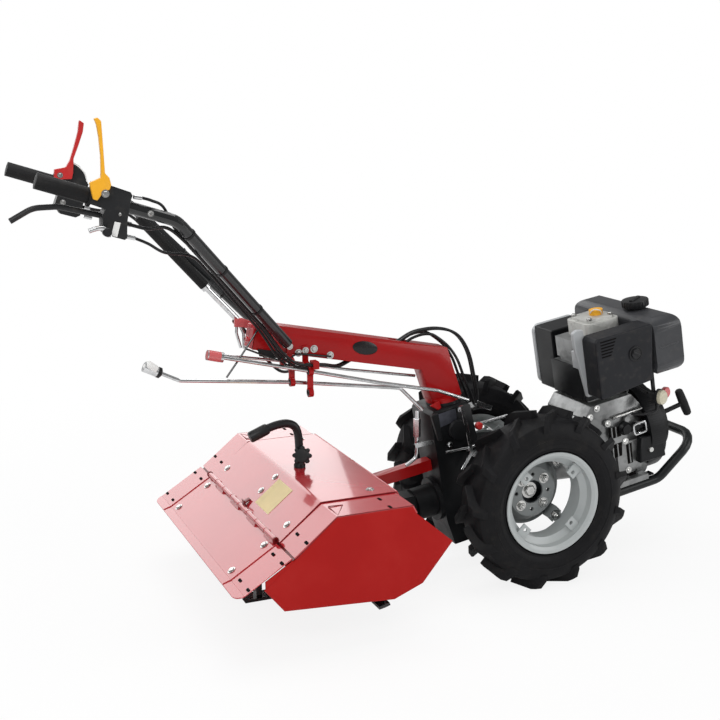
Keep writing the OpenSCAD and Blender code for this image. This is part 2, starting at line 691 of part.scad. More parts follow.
// Column: mitred beam on a swivelling foot
foot = pw(swivel_x, gearbox_h + swivel_rise);
foot_t = 12;
column_wall = 4;
swivel_axis = [-sin(pitch), cos(pitch)];
leg_run = [-sin(leg_lean), cos(leg_lean)];
beam_run = [-cos(beam_slope), sin(beam_slope)];
leg_len = 128;
mitre_at = foot + leg_len * leg_run;

// Corner of the mitre for a beam of depth h and a leg of depth l
function mitre_corner(h, l) =
    let(sb = sin(beam_slope), cb = cos(beam_slope), sl = sin(leg_lean), cl = cos(leg_lean),
        det = sb * sl - cb * cl)
    [(h / 2 * sl - cb * l / 2) / det, (sb * l / 2 - cl * h / 2) / det];
// Point where a line along the leg meets the plane that lies rise above the foot
function on_foot(p, rise) =
    p - leg_run * ((p - foot - rise * swivel_axis) * swivel_axis) / (leg_run * swivel_axis);
function column_outline(h, l, run, rise) =
    let(c = mitre_corner(h, l), up = [-beam_run.y, beam_run.x] * -h / 2)
    [mitre_at + c, on_foot(mitre_at + c, rise), on_foot(mitre_at - c, rise), mitre_at - c,
     mitre_at + run * beam_run - up, mitre_at + run * beam_run + up];

pivot_in = 24;
pivot = mitre_at + (beam_len - pivot_in) * beam_run;
pivot_r = 8;
bar_pin = pivot + [32, 2];    // axis of the handlebars' pivot shaft in the beam

module swivel_frame() translate([foot.x, 0, foot.y]) rotate([0, -pitch, 0]) children();

module column_beam() color([0.72, 0.1, 0.1]) difference() {
    union() {
        difference() {
            across(column_w) polygon(column_outline(beam_h, leg_h, beam_len, foot_t / 2));
            across(column_w - 2 * column_wall) polygon(column_outline(
                beam_h - 2 * column_wall, leg_h - 2 * column_wall, beam_len + 10, foot_t));
        }
        swivel_frame() translate([0, 0, seat]) cylinder(r = swivel_r, h = foot_t - seat);
        translate([bar_pin.x, 0, bar_pin.y]) pin_y(pivot_r + 8, column_w);
    }
    swivel_frame() translate([0, 0, -1]) cylinder(r = swivel_pin_r + fit, h = foot_t + 2);
    translate([bar_pin.x, 0, bar_pin.y]) pin_y(pivot_r + fit, column_w + 10);
    translate([foot.x - 140, 0, foot.y + 170]) rotate([0, beam_slope, 0])
        cube([60, 26, 60], center = true);
    translate([foot.x - 300, 0, foot.y + 118]) rotate([0, beam_slope, 0])
        cube([110, 40, 60], center = true);
}

rod_a_y = -44;
rod_b_y = -64;
rod_c_y = 20;
function off_foot(x, y, z) = [foot.x + x, y, foot.y + z];
rod_a = [off_foot(-812, rod_a_y, 160), off_foot(-758, rod_a_y, 133), off_foot(-461, rod_a_y, 100),
         off_foot(-153, rod_a_y, 54), off_foot(-86, rod_a_y, -14)];
rod_b = [off_foot(-655, rod_b_y, 187), off_foot(-418, rod_b_y, 129), off_foot(-221, rod_b_y, 79),
         off_foot(-50, rod_b_y, 41), off_foot(44, rod_b_y, 4)];
rod_c = [off_foot(-624, rod_c_y, 172), off_foot(-444, rod_c_y, 140), off_foot(-284, rod_c_y, 104),
         off_foot(-123, rod_c_y, 75), off_foot(-78, rod_c_y, 67)];
knob_len = 36;
knob_d = 26;

module shift_rods() color([0.75, 0.76, 0.77]) {
    bar(rod_a, rod_d);
    bar(rod_b, rod_d);
    bar(rod_c, rod_d - 2);
    for (rod = [rod_a, rod_b]) segment(rod[0] - knob_len * unit(rod[1] - rod[0]),
                                       rod[0] + 6 * unit(rod[1] - rod[0]), knob_d);
}

// Guides: a strap on the beam's side, cranked outwards, with two rings
strap_w = 16;
strap_t = 4;
ring_bore = rod_d / 2 + 2.3;
ring_r = ring_bore + 5;
ring_w = 12;

module rod_guide(x, y, rings, top) translate([foot.x + x, 0, foot.y]) difference() {
    union() {
        along_x(strap_w) polygon(strip([[-column_w / 2, top], [-column_w / 2, rings[0] + 18],
            [y + strap_t / 2, rings[0] + 2], [y + strap_t / 2, rings[1]]], -strap_t));
        for (z = rings) translate([0, y, z]) pin_x(ring_r, ring_w);
    }
    for (z = rings) translate([0, y, z]) pin_x(ring_bore, strap_w + 2);
}

function beam_under(x) =
    mitre_at.y + (mitre_at.x - x) * tan(beam_slope) - beam_h / 2 / cos(beam_slope);
// Eye under the beam for the lock rod
module rod_c_eye(w) {
    x = rod_c[1].x - 20;
    z = rod_c[1].z + 20 * (rod_c[0].z - rod_c[1].z) / (rod_c[1].x - rod_c[0].x);
    difference() {
        across(16, rod_c_y) polygon([[x - w / 2, z - 10], [x + w / 2, z - 10],
            [x + w / 2, beam_under(x + w / 2)], [x - w / 2, beam_under(x - w / 2)]]);
        translate([x, rod_c_y, z]) pin_x(rod_d / 2 + 0.6, w + 2);
    }
}

module rod_guides() color([0.72, 0.12, 0.12]) {
    rod_guide(-461, rod_a_y, [151, 101], 204);
    rod_guide(-418, rod_b_y, [129, 73], 190);
    rod_c_eye(10);
    translate(clip_at) difference() {
        translate([-12, -8, -10]) cube([16, 28, 20]);
        for (k = [0, 1]) translate([0, cable_step * k, 0]) pin_x(cable_d / 2 + 2 * seat, 40);
    }
}

cable_d = 8;
cable_step = 12;
clip_at = off_foot(-403, -74, 146);
function on_box(x, y, dz) = [pw(x, dz).x, y, pw(x, dz).y];
module column_cables() color([0.08, 0.08, 0.08]) for (k = [0, 1]) {
    y = cable_step * k;
    cable(concat([clip_at + [0, y, 0]], smooth([clip_at + [10, y, 0],
        off_foot(-350, -48 + y, 133), off_foot(-310, -18 + y, 132), off_foot(-262, -6 + y, 146),
        off_foot(-200, -6 + y, 146), off_foot(-140, -6 + y, 178), off_foot(-48, -6 + y, 204),
        off_foot(30, -6 + y, 150), off_foot(79, -6 + y, 60), on_box(cable_end_x, -6 + y, 238)], 4),
        [on_box(cable_end_x, -6 + y, cable_end_dz)]), cable_d);
}

// End plate of the beam, with its two bolts
plate_bolts = [22, -14];
module lock_bracket() color([0.86, 0.62, 0.62]) translate([pivot.x, 0, pivot.y])
    rotate([0, beam_slope, 0]) translate([-pivot_in - seat, 0, 0]) {
        translate([-3, 0, 0]) cube([6, column_w - 4, beam_h - 4], center = true);
        for (z = plate_bolts) translate([-9, 0, z]) rotate([0, 90, 0])
            cylinder(d = 15, h = 9, center = true, $fn = 6);
    }

// Handlebars, bent from the bracket out to the grips
function off_pivot(x, y, z) = [pivot.x + x, y, pivot.y + z];
bar_line = [off_pivot(42, 90, -8), off_pivot(-270, grip_y, 328)];
function flip(pts, side) = [for (p = pts) [p.x, side * p.y, p.z]];
grip_slope = 18;
grip_run = [-cos(grip_slope), 0, sin(grip_slope)];
function on_grip(s) = bar_line[1] + s * grip_run;
grip_start = 202;
grip_len = 118;
grip_cap = 10;

module handlebar(side)
    bar(flip(concat(bar_line, [on_grip(grip_start + grip_len - grip_cap - seat)]), side), bar_d, 60);
module handlebar_right() color([0.1, 0.1, 0.1]) handlebar(-1);
module handlebar_left() color([0.1, 0.1, 0.1]) handlebar(1);

// Bracket: shaft through the beam, a sleeve to each tube and an arm to the lock lever
sleeve_in = column_w / 2 + 1;
sleeve_out = 94;
sleeve_r = 13;
arm_in = 38;
arm_t = 6;

module handlebar_bracket() color([0.8, 0.3, 0.3]) {
    translate([bar_pin.x, 0, bar_pin.y]) pin_y(pivot_r, 2 * sleeve_in + 20);
    for (side = [-1, 1]) difference() {
        translate([bar_pin.x, 0, bar_pin.y])
            pin_y(sleeve_r, sleeve_out - sleeve_in, side * (sleeve_out + sleeve_in) / 2);
        segment(flip([bar_line[0]], side)[0], flip([bar_line[1]], side)[0], bar_d + 2 * fit);
    }
    across(arm_t, arm_in + arm_t / 2) polygon([for (p = [[32, 14], [32, -9], [-34, 18], [-56, 20],
        [-56, 40], [-36, 42]]) pivot + p]);
}

module grips() color([0.12, 0.12, 0.12]) for (side = [-1, 1]) difference() {
    ends = flip([on_grip(grip_start - 10), on_grip(grip_start),
                 on_grip(grip_start + grip_len - grip_cap), on_grip(grip_start + grip_len)], side);
    segment(ends[1], ends[3], grip_d);
    segment(ends[0], ends[2], bar_d + 2 * fit);
}

// Levers and their housings, in frames at the tubes' bends whose X runs along the grips
module at_bend(side) translate(flip([bar_line[1]], side)[0]) rotate([0, grip_slope, 0]) children();
function on_bend(x, y, z) = bar_line[1] + [0, y, 0] - x * grip_run
    + z * [sin(grip_slope), 0, cos(grip_slope)];
throttle_w = 44;
sector_w = 30;
lever_t = 12;
sector_t = 8;

module lever_housings() color([0.1, 0.1, 0.1]) {
    at_bend(-1) difference() {
        across(throttle_w) polygon([[seat - grip_start, 17], [-167, 35], [-122, 33], [-116, 27], [-117, 16],
            [-112, -30], [-103, -66], [-107, -71], [-147, -71], [-157, -67], [-168, -32],
            [-165, -18], [seat - grip_start, -16]]);
        pin_x(bar_d / 2 + seat, 500);
    }
    at_bend(1) difference() {
        union() {
            across(sector_w) polygon([[-186, -54], [-166, -72], [-127, -71], [-117, -63],
                [-117, 20], [-124, 24], [-176, 24], [-182, 18]]);
            across(sector_t, -(sector_w + sector_t) / 2 + 2) polygon([[-171, 63], [-154, 59],
                [-134, 46], [-122, 24], [-121, 8], [seat - grip_start, 8], [seat - grip_start, 30], [-182, 42]]);
        }
        pin_x(bar_d / 2 + seat, 500);
    }
}

hand_lever_d = 13;
hand_line = [[-168 - seat, -34], [-259, -40], [-311, -58], [-349, -98]];
module hand_lever() color([0.1, 0.1, 0.1]) at_bend(-1)
    bar([for (p = hand_line) [p.x, 0, p.y]], hand_lever_d, 60, 12);

module yellow_lever() color([0.93, 0.7, 0.15]) at_bend(-1)
    across(lever_t, -throttle_w / 2 - seat - lever_t / 2) polygon([
        [-241, 161], [-234, 165], [-225, 160], [-210, 118], [-189, 57], [-177, 50], [-169, 36],
        [-170, 25], [-182, 18], [-186, 4], [-189, -4], [-198, -4], [-208, 14], [-215, 28],
        [-203, 38], [-195, 45], [-197, 55], [-208, 92], [-222, 128], [-233, 151]]);

module red_lever() color([0.75, 0.15, 0.15]) at_bend(1)
    across(lever_t, -sector_w / 2 - sector_t + 2 - seat - lever_t / 2) polygon([
        [-183, 168], [-171, 164], [-168, 143], [-170, 105], [-173, 72], [-165, 37], [-164, 21],
        [-195, 11], [-207, 12], [-212, 32], [-186, 45], [-181, 64], [-180, 95], [-180, 139],
        [-184, 163]]);

lock_y = 54;
module lock_lever() color([0.3, 0.3, 0.3]) {
    crotch = off_pivot(-44, lock_y, 37);
    shank = off_pivot(-122, lock_y, 123);
    segment(off_pivot(-289, lock_y, 311), shank, 25);
    segment(shank, crotch, 16);
    bar([crotch, off_pivot(-47, lock_y, 0), off_pivot(-36, lock_y, -39)], 8, 20, 10);
    bar([crotch, off_pivot(-28, lock_y, -1), off_pivot(-27, lock_y, -42)], 8, 20, 10);
    translate([pivot.x - 46, 0, pivot.y + 31])
        pin_y(5, lock_y - arm_in - arm_t - seat, (lock_y + arm_in + arm_t + seat) / 2);
}

// Point below a handlebar tube, at the share t of its way from the bracket to the bend
function under_bar(t, y, z) = bar_line[0] + t * (bar_line[1] - bar_line[0]) + [-6, y, z];
module handlebar_cables() color([0.08, 0.08, 0.08]) for (side = [-1, 1]) {
    clip = clip_at + [0, side < 0 ? 0 : cable_step, 0];
    front = side < 0 ? -108.8 : -117;
    start = flip([on_bend(front + 14, -4, -36), on_bend(front + 60, -10, -38),
                  under_bar(0.9, -9, -30), under_bar(0.5, -8, -27), under_bar(0.15, -14, -28),
                  off_pivot(24, 66, -46)], side);
    under = side < 0 ? [off_pivot(66, -78, -62), off_pivot(100, -76, -74)]
                     : [off_pivot(60, 34, -104), off_pivot(84, -20, -94), off_pivot(104, -60, -72)];
    cable(concat(flip([on_bend(front + seat, -4, -36)], side),
        smooth(concat(start, under, [clip - [16, 0, 0]]), 5), [clip]), cable_d);
}

// Middle of the length from the bumper to the hand lever's tip
front_end = pw(engine_x + bumper_reach, bumper_z + bumper_rise).x + bumper_d / 2;
hand_tip = hand_line[3];
rear_end = on_bend(hand_tip.x, 0, hand_tip.y).x - hand_lever_d / 4;
frame_shift = -(front_end + rear_end) / 2;

placed() gearbox_case();
placed() axle_housings();
placed() engine_block();
placed() cylinder_node();  // cylinder
placed() rocker_cover();
placed() oil_cap();
placed() fuel_tank();
placed() fuel_cap();
placed() air_cleaner();
placed() air_duct();
placed() muffler();
placed() muffler_guard();
placed() fan_housing();
placed() starter_grip();
placed() fuel_filter();
placed() bumper();
placed() gear_links();
placed() tiller_case();
placed() tiller_arm();
placed() hood_cover();
placed() hood_wing_right();
placed() hood_wing_left();
placed() side_plate_right();
placed() side_plate_left();
placed() hinge_rod();
placed() depth_handle();
placed() depth_spur();
placed() hood_flap();
placed() rotor();
placed() tyre_right();
placed() tyre_left();
placed() rim_right();
placed() rim_left();
placed() disc_right();
placed() disc_left();
placed() hub_right();
placed() hub_left();
placed() column_beam();
placed() rod_guides();
placed() shift_rods();
placed() column_cables();
placed() lock_bracket();
placed() handlebar_right();
placed() handlebar_left();
placed() handlebar_bracket();
placed() grips();
placed() lever_housings();
placed() hand_lever();
placed() yellow_lever();
placed() red_lever();
placed() lock_lever();
placed() handlebar_cables();
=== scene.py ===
# Walking tractor with a rotary tiller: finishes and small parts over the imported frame
import json
import math
import bmesh
import bpy
from mathutils import Matrix, Vector
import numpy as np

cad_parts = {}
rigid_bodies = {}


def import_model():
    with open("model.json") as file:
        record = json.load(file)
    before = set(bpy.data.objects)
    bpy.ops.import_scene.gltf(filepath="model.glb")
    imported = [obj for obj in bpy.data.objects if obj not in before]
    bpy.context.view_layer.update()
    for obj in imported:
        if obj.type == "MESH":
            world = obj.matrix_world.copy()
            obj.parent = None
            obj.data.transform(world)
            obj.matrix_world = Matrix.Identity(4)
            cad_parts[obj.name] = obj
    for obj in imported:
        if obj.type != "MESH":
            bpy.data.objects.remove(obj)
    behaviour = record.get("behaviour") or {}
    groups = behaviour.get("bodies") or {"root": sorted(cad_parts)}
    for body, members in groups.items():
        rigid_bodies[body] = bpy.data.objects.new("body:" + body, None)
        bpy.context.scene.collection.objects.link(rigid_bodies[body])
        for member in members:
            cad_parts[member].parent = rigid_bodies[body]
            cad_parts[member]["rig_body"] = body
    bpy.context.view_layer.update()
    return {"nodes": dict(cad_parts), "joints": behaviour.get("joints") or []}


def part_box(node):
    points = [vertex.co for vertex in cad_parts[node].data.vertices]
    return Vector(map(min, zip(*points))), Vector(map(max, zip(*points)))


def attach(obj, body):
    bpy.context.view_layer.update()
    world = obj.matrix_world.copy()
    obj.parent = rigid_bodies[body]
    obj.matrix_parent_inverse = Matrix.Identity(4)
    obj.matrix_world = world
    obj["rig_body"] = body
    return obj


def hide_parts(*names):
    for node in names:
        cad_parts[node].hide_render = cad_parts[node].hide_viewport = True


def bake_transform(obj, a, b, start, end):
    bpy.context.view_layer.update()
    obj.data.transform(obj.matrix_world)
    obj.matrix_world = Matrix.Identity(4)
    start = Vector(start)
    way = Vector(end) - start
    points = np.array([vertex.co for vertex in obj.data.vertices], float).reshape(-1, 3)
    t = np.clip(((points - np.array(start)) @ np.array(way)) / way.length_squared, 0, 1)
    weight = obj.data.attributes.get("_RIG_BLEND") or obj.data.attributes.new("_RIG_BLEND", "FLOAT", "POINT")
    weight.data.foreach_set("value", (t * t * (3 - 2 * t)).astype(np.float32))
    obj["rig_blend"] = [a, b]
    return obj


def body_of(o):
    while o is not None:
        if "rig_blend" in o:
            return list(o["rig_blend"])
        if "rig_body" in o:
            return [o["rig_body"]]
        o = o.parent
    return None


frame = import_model()
nodes = frame["nodes"]
scene = bpy.context.scene
mm = 0.001
print("frame loaded:", len(nodes), "nodes")

# Landmarks worked out from the frame
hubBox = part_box("hub_right")
axle = Vector(((hubBox[0][0] + hubBox[1][0]) / 2, 0, (hubBox[0][2] + hubBox[1][2]) / 2))
pitch = math.radians(10)  # engine and gearbox are pitched nose up


def atAxle(x, y, z):  # millimetres ahead of the axle, to the left, and above the ground
    return Vector((axle.x + x * mm, y * mm, z * mm))


def onUnit(x, y, z):  # millimetres in the pitched unit: ahead of and above its own origin
    turned = Matrix.Rotation(-pitch, 3, "Y") @ Vector((x, y, z))
    return axle + Vector((0, 0, 9)) * mm + turned * mm


camera = {"lens": 59.55, "back": -1664, "side": -2868, "height": 1311, "yaw": 23.02, "down": 12.37, "roll": -0.25}


def makeCamera():
    data = bpy.data.cameras.new("photoCamera")
    data.lens = camera["lens"]
    data.sensor_width = 36
    data.sensor_fit = "HORIZONTAL"
    data.clip_start = 0.05
    obj = bpy.data.objects.new("photoCamera", data)
    scene.collection.objects.link(obj)
    turn = (Matrix.Rotation(-math.radians(camera["yaw"]), 4,
        "Z") @ Matrix.Rotation(math.radians(90 - camera["down"]), 4,
        "X") @ Matrix.Rotation(math.radians(camera["roll"]), 4, "Z"))
    obj.matrix_world = Matrix.Translation(atAxle(camera["back"], camera["side"], camera["height"])) @ turn
    scene.camera = obj


makeCamera()
print("camera set")


# Shader maths: a socket that adds Math nodes when it is used in an expression
class Sock:
    def __init__(self, finish, out):
        self.finish, self.out = finish, out

    def math(self, operation, first, second):
        node = self.finish.node("ShaderNodeMath", {"operation": operation}, {0: first, 1: second})
        return Sock(self.finish, node.outputs[0])

    def __add__(self, other):
        return self.math("ADD", self, other)

    def __radd__(self, other):
        return self.math("ADD", other, self)

    def __sub__(self, other):
        return self.math("SUBTRACT", self, other)

    def __rsub__(self, other):
        return self.math("SUBTRACT", other, self)

    def __mul__(self, other):
        return self.math("MULTIPLY", self, other)

    def __rmul__(self, other):
        return self.math("MULTIPLY", other, self)

    def step(self, low, high):  # 0 below low, 1 above high, smooth between
        node = self.finish.node("ShaderNodeMapRange", {"interpolation_type": "SMOOTHSTEP", "clamp": True},
            {"Value": self, "From Min": low, "From Max": high})
        return Sock(self.finish, node.outputs["Result"])


class Finish:
    def __init__(self, name):
        self.mat = bpy.data.materials.new(name)
        self.mat.use_nodes = True
        self.tree = self.mat.node_tree
        self.tree.nodes.clear()
        self.place = self.node("ShaderNodeTexCoord").outputs["Object"]
        self.shader = self.node("ShaderNodeBsdfPrincipled")
        self.end = self.node("ShaderNodeOutputMaterial", {}, {"Surface": self.shader.outputs[0]})

    def node(self, kind, settings=None, values=None):
        node = self.tree.nodes.new(kind)
        for key, value in (settings or {}).items():
            setattr(node, key, value)
        for key, value in (values or {}).items():
            self.feed(node.inputs[key], value)
        return node

    def feed(self, socket, value):
        if isinstance(value, Sock):
            self.tree.links.new(value.out, socket)
        elif isinstance(value, bpy.types.NodeSocket):
            self.tree.links.new(value, socket)
        else:
            socket.default_value = value

    def set(self, **values):
        for key, value in values.items():
            self.feed(self.shader.inputs[key.replace("_", " ")], value)

    def noise(self, scale, detail=4, rough=0.55):
        node = self.node("ShaderNodeTexNoise", {}, {"Vector": self.place, "Scale": scale, "Detail": detail,
            "Roughness": rough})
        return Sock(self, node.outputs["Fac"])

    def cells(self, scale):
        node = self.node("ShaderNodeTexVoronoi", {"feature": "F1"}, {"Vector": self.place, "Scale": scale})
        return Sock(self, node.outputs["Distance"])

    def height(self):  # height above the ground in metres
        return Sock(self, self.node("ShaderNodeSeparateXYZ", {}, {"Vector": self.place}).outputs["Z"])

    def blendTint(self, factor, first, second):
        node = self.node("ShaderNodeMix", {"data_type": "RGBA"}, {"Factor": factor, 6: first, 7: second})
        return node.outputs[2]

    def bump(self, height, strength, depth=0.001):
        node = self.node("ShaderNodeBump", {}, {"Height": height, "Strength": strength, "Distance": depth})
        self.feed(self.shader.inputs["Normal"], node.outputs[0])


def tone(red, green, blue):  # screen colour from 0 to 255, as linear light
    def linear(value):
        value /= 255
        return value / 12.92 if value <= 0.04045 else ((value + 0.055) / 1.055) ** 2.4
    return (linear(red), linear(green), linear(blue), 1)


def shade(tint, factor):
    return tuple(min(1, value * factor) for value in tint[:3]) + (1,)


dustTint = tone(150, 140, 126)


def painted(name, tint, rough=0.32, coat=0.4, spread=0.12, dust=0.12, shine=0.3):
    finish = Finish(name)
    clouds = finish.noise(7, 5)
    specks = finish.noise(160, 3)
    base = finish.blendTint(clouds.step(0.3, 0.7), shade(tint, 1 - spread), shade(tint, 1 + spread * 0.5))
    low = (1 - finish.height().step(0.1, 0.6)) * clouds.step(0.42, 0.75) * dust
    finish.set(Base_Color=finish.blendTint(low, base, dustTint), Coat_Weight=coat, Coat_Roughness=0.05,
        Specular_IOR_Level=shine, Roughness=rough + (specks - 0.5) * 0.12 + low * 0.5)
    finish.bump(finish.noise(420, 2) * 0.5 + finish.noise(14, 2), 0.05)
    return finish.mat


def casting(name, tint, rough=0.5, metal=0.0, grit=0.35, spread=0.25, shine=0.3):
    finish = Finish(name)
    clouds = finish.noise(16, 6)
    sand = finish.noise(520, 4, 0.7)
    pits = 1 - finish.cells(210).step(0.05, 0.3)
    base = finish.blendTint(clouds.step(0.3, 0.72), shade(tint, 1 - spread), shade(tint, 1 + spread))
    grime = (1 - finish.noise(38, 5).step(0.36, 0.5)) * 0.35
    finish.set(Base_Color=finish.blendTint(grime, base, shade(tint, 0.35)), Metallic=metal,
        Specular_IOR_Level=shine, Roughness=rough + (clouds - 0.5) * 0.25)
    finish.bump(sand - pits * 0.35, grit, 0.0006)
    return finish.mat


def moulded(name, tint, rough=0.45, grain=0.12, spread=0.1, shine=0.35):
    finish = Finish(name)
    clouds = finish.noise(11, 4)
    base = finish.blendTint(clouds.step(0.3, 0.7), shade(tint, 1 - spread), shade(tint, 1 + spread))
    dust = finish.noise(46, 6).step(0.5, 0.8) * 0.07
    finish.set(Base_Color=finish.blendTint(dust, base, dustTint), Roughness=rough + clouds * 0.12,
        Specular_IOR_Level=shine)
    finish.bump(finish.cells(900), grain, 0.0004)
    return finish.mat


def plated(name, tint, rough=0.24, mottle=0.25):
    finish = Finish(name)
    clouds = finish.noise(60, 5)
    lines = finish.noise(240, 3, 0.6)
    base = finish.blendTint(clouds.step(0.25, 0.75), shade(tint, 1 - mottle), shade(tint, 1.08))
    finish.set(Base_Color=base, Metallic=1.0, Roughness=rough + (lines - 0.5) * 0.2)
    finish.bump(lines, 0.06, 0.0003)
    return finish.mat


def rubber(name, tint, rough=0.72, dust=0.1, grain=0.3, scale=260, shine=0.2):
    finish = Finish(name)
    clouds = finish.noise(9, 6)
    base = finish.blendTint(clouds.step(0.3, 0.75), shade(tint, 0.75), shade(tint, 1.3))
    film = finish.noise(30, 6, 0.65).step(0.48, 0.8) * dust
    finish.set(Base_Color=finish.blendTint(film, base, dustTint), Roughness=rough + (clouds - 0.5) * 0.2,
        Specular_IOR_Level=shine)
    finish.bump(finish.noise(scale, 5, 0.6), grain, 0.0006)
    return finish.mat


recipes = {
    "hoodPaint": (painted, (186, 40, 48), 0.2, 1.0, 0.05, 0.02, 0.6),
    "platePaint": (painted, (168, 20, 17), 0.4, 0.05, 0.06, 0.03, 0.12),
    "beamPaint": (painted, (156, 12, 14), 0.3, 0.15, 0.08, 0.03, 0.2),
    # dark red that is painted shade along the hood's seams and the hinge strip, also used for the hinge pin
    "edgePaint": (painted, (120, 16, 22), 0.35, 0.2, 0.1, 0.03),
    "bracketPaint": (painted, (206, 96, 98), 0.25, 0.6, 0.08, 0.03, 0.5),
    "blackPaint": (painted, (20, 21, 23), 0.22, 0.7, 0.15, 0.03, 0.3),
    "bumperPaint": (painted, (26, 29, 30), 0.38, 0.15, 0.2, 0.05, 0.2),
    "caseBlack": (casting, (18, 19, 21), 0.4, 0.0, 0.25, 0.25, 0.25),
    "ironBlack": (casting, (16, 17, 19), 0.45, 0.0, 0.35, 0.3, 0.25),
    "bareCasting": (casting, (146, 147, 147), 0.34, 0.8, 0.3, 0.25),
    "paleCasting": (casting, (190, 190, 186), 0.4, 0.3, 0.22, 0.12),
    "rimPaint": (painted, (174, 179, 179), 0.32, 0.3, 0.08, 0.08),
    "discPaint": (painted, (140, 144, 144), 0.34, 0.25, 0.08, 0.06),
    "zincPlate": (plated, (214, 215, 216), 0.2),
    "boltSteel": (plated, (206, 206, 204), 0.22),
    "darkSteel": (plated, (92, 94, 97), 0.34),
    "tyreRubber": (rubber, (19, 19, 21), 0.55, 0.03, 0.4, 190, 0.15),
    "gripRubber": (rubber, (24, 24, 25), 0.58, 0.03, 0.3, 520),
    "cableRubber": (rubber, (18, 18, 20), 0.35, 0.02, 0.1, 300, 0.3),
    "blackPlastic": (moulded, (24, 25, 27), 0.36, 0.1),
    "tankPlastic": (moulded, (56, 57, 60), 0.3, 0.06, 0.1, 0.4),
    "coverPlastic": (moulded, (26, 27, 31), 0.4, 0.2, 0.1, 0.25),
    "silverCover": (painted, (176, 179, 181), 0.34, 0.2, 0.06, 0.02),
    "yellowPlastic": (moulded, (238, 172, 40), 0.3, 0.05, 0.05),
    "redPlastic": (moulded, (190, 42, 42), 0.3, 0.05, 0.06),
    "creamPlastic": (moulded, (206, 200, 178), 0.38, 0.05, 0.08),
    "paleLabel": (moulded, (232, 212, 160), 0.5, 0.02, 0.06),
    "whiteLabel": (moulded, (226, 226, 224), 0.45, 0.02, 0.05),
    "greyPlate": (plated, (110, 112, 122), 0.4),
    # near-black for slots and vents, and painted shade on the crankcase
    "darkHole": (moulded, (10, 8, 8), 0.8, 0.02, 0.05, 0.1),
    "badgeBlack": (moulded, (22, 20, 22), 0.2, 0.02, 0.05),
}
finishes = {name: make(name, tone(*tint), *values) for name, (make, tint, *values) in recipes.items()}
print("finishes made:", len(finishes))

nodesOf = {
    "caseBlack": ("gearbox_case", "axle_housings", "muffler", "fan_housing"),
    "bareCasting": ("engine_block", "cylinder"),
    "paleCasting": ("rocker_cover",),
    "yellowPlastic": ("oil_cap", "yellow_lever"),
    "tankPlastic": ("fuel_tank",),
    "blackPlastic": ("fuel_cap", "depth_handle", "lever_housings", "hand_lever"),
    "coverPlastic": ("air_cleaner",),
    "silverCover": ("air_duct", "muffler_guard"),
    "gripRubber": ("starter_grip", "grips"),
    "creamPlastic": ("fuel_filter",),
    "bumperPaint": ("bumper",),
    "zincPlate": ("gear_links", "shift_rods", "lock_lever"),
    "ironBlack": ("tiller_case",),
    "beamPaint": ("tiller_arm", "column_beam", "rod_guides"),
    "hoodPaint": ("hood_cover", "hood_wing_right", "hood_wing_left", "hood_flap", "lock_bracket"),
    "platePaint": ("side_plate_right", "side_plate_left"),
    "bracketPaint": ("hinge_rod", "handlebar_bracket"),
    "blackPaint": ("depth_spur", "rotor", "handlebar_right", "handlebar_left"),
    "tyreRubber": ("tyre_right", "tyre_left"),
    "rimPaint": ("rim_right", "rim_left"),
    "discPaint": ("disc_right", "disc_left"),
    "darkSteel": ("hub_right", "hub_left"),
    "cableRubber": ("column_cables", "handlebar_cables"),
    "redPlastic": ("red_lever",),
}
nodeFinish = {name: finish for finish, names in nodesOf.items() for name in names}


def dressNode(name, finish):
    mesh = nodes[name].data
    mesh.materials.clear()
    mesh.materials.append(finishes[finish])


for name in nodes:
    dressNode(name, nodeFinish.get(name, "blackPaint"))
print("nodes dressed")


def soften(name, width):  # width in mm
    angle = math.radians(30)
    node = nodes[name]
    bm = bmesh.new()
    bm.from_mesh(node.data)
    bmesh.ops.remove_doubles(bm, verts=bm.verts, dist=0.00002)
    mesh = bpy.data.meshes.new(name + "Soft")
    bm.to_mesh(mesh)
    bm.free()
    mesh.materials.append(node.data.materials[0])
    for face in mesh.polygons:
        face.use_smooth = True
        face.material_index = 0
    mesh.set_sharp_from_angle(angle=angle)
    obj = bpy.data.objects.new(name + "Soft", mesh)
    scene.collection.objects.link(obj)
    bevel = obj.modifiers.new("edges", "BEVEL")
    bevel.width = width * mm
    bevel.segments = 2
    bevel.limit_method = "ANGLE"
    bevel.angle_limit = angle
    bevel.harden_normals = True
    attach(obj, body_of(node)[0])
    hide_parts(name)


softEdges = {"column_beam": 2, "tiller_arm": 2, "fuel_tank": 6, "air_cleaner": 6, "rocker_cover": 2.5,
    "muffler": 5, "muffler_guard": 3, "gearbox_case": 3, "lever_housings": 2, "fan_housing": 4,
    "yellow_lever": 1.5, "red_lever": 1.5, "hand_lever": 2, "engine_block": 2, "air_duct": 3, "fuel_cap": 2,
    "grips": 3, "handlebar_bracket": 1, "lock_bracket": 1, "tyre_right": 2.5, "tyre_left": 2.5, "bumper": 1.5}
for name, width in softEdges.items():
    soften(name, width)
print("edges softened:", len(softEdges))


# Where the joints are, and the frames that the small parts are placed in
joints = {joint["name"]: Vector(joint["pos_m"]) for joint in frame["joints"]}
foot = joints["column_swing"]
pin = joints["handlebar_height"]
gripSlope = math.radians(18)


def fromFoot(x, y, z):
    return foot + Vector((x, y, z)) * mm


def fromPin(x, y, z):  # from a point 32 mm behind the pivot shaft
    return pin + Vector((x - 32, y, z - 2)) * mm


def onBar(side, x, y, z):  # along the grip from the tube's bend; y from the tube's own plane
    bend = fromPin(-270, 246 * side, 328)
    return bend + Matrix.Rotation(gripSlope, 3, "Y") @ Vector((x, y, z)) * mm


def tilt(degrees):  # turn about Y
    return Matrix.Rotation(math.radians(degrees), 3, "Y")


def turns(count, first=0):  # angles of a ring of equal parts
    return [math.radians(first + 360 * k / count) for k in range(count)]


def through(place, *points):  # the points of a line, each set by one of the functions above
    return [place(*point) for point in points]


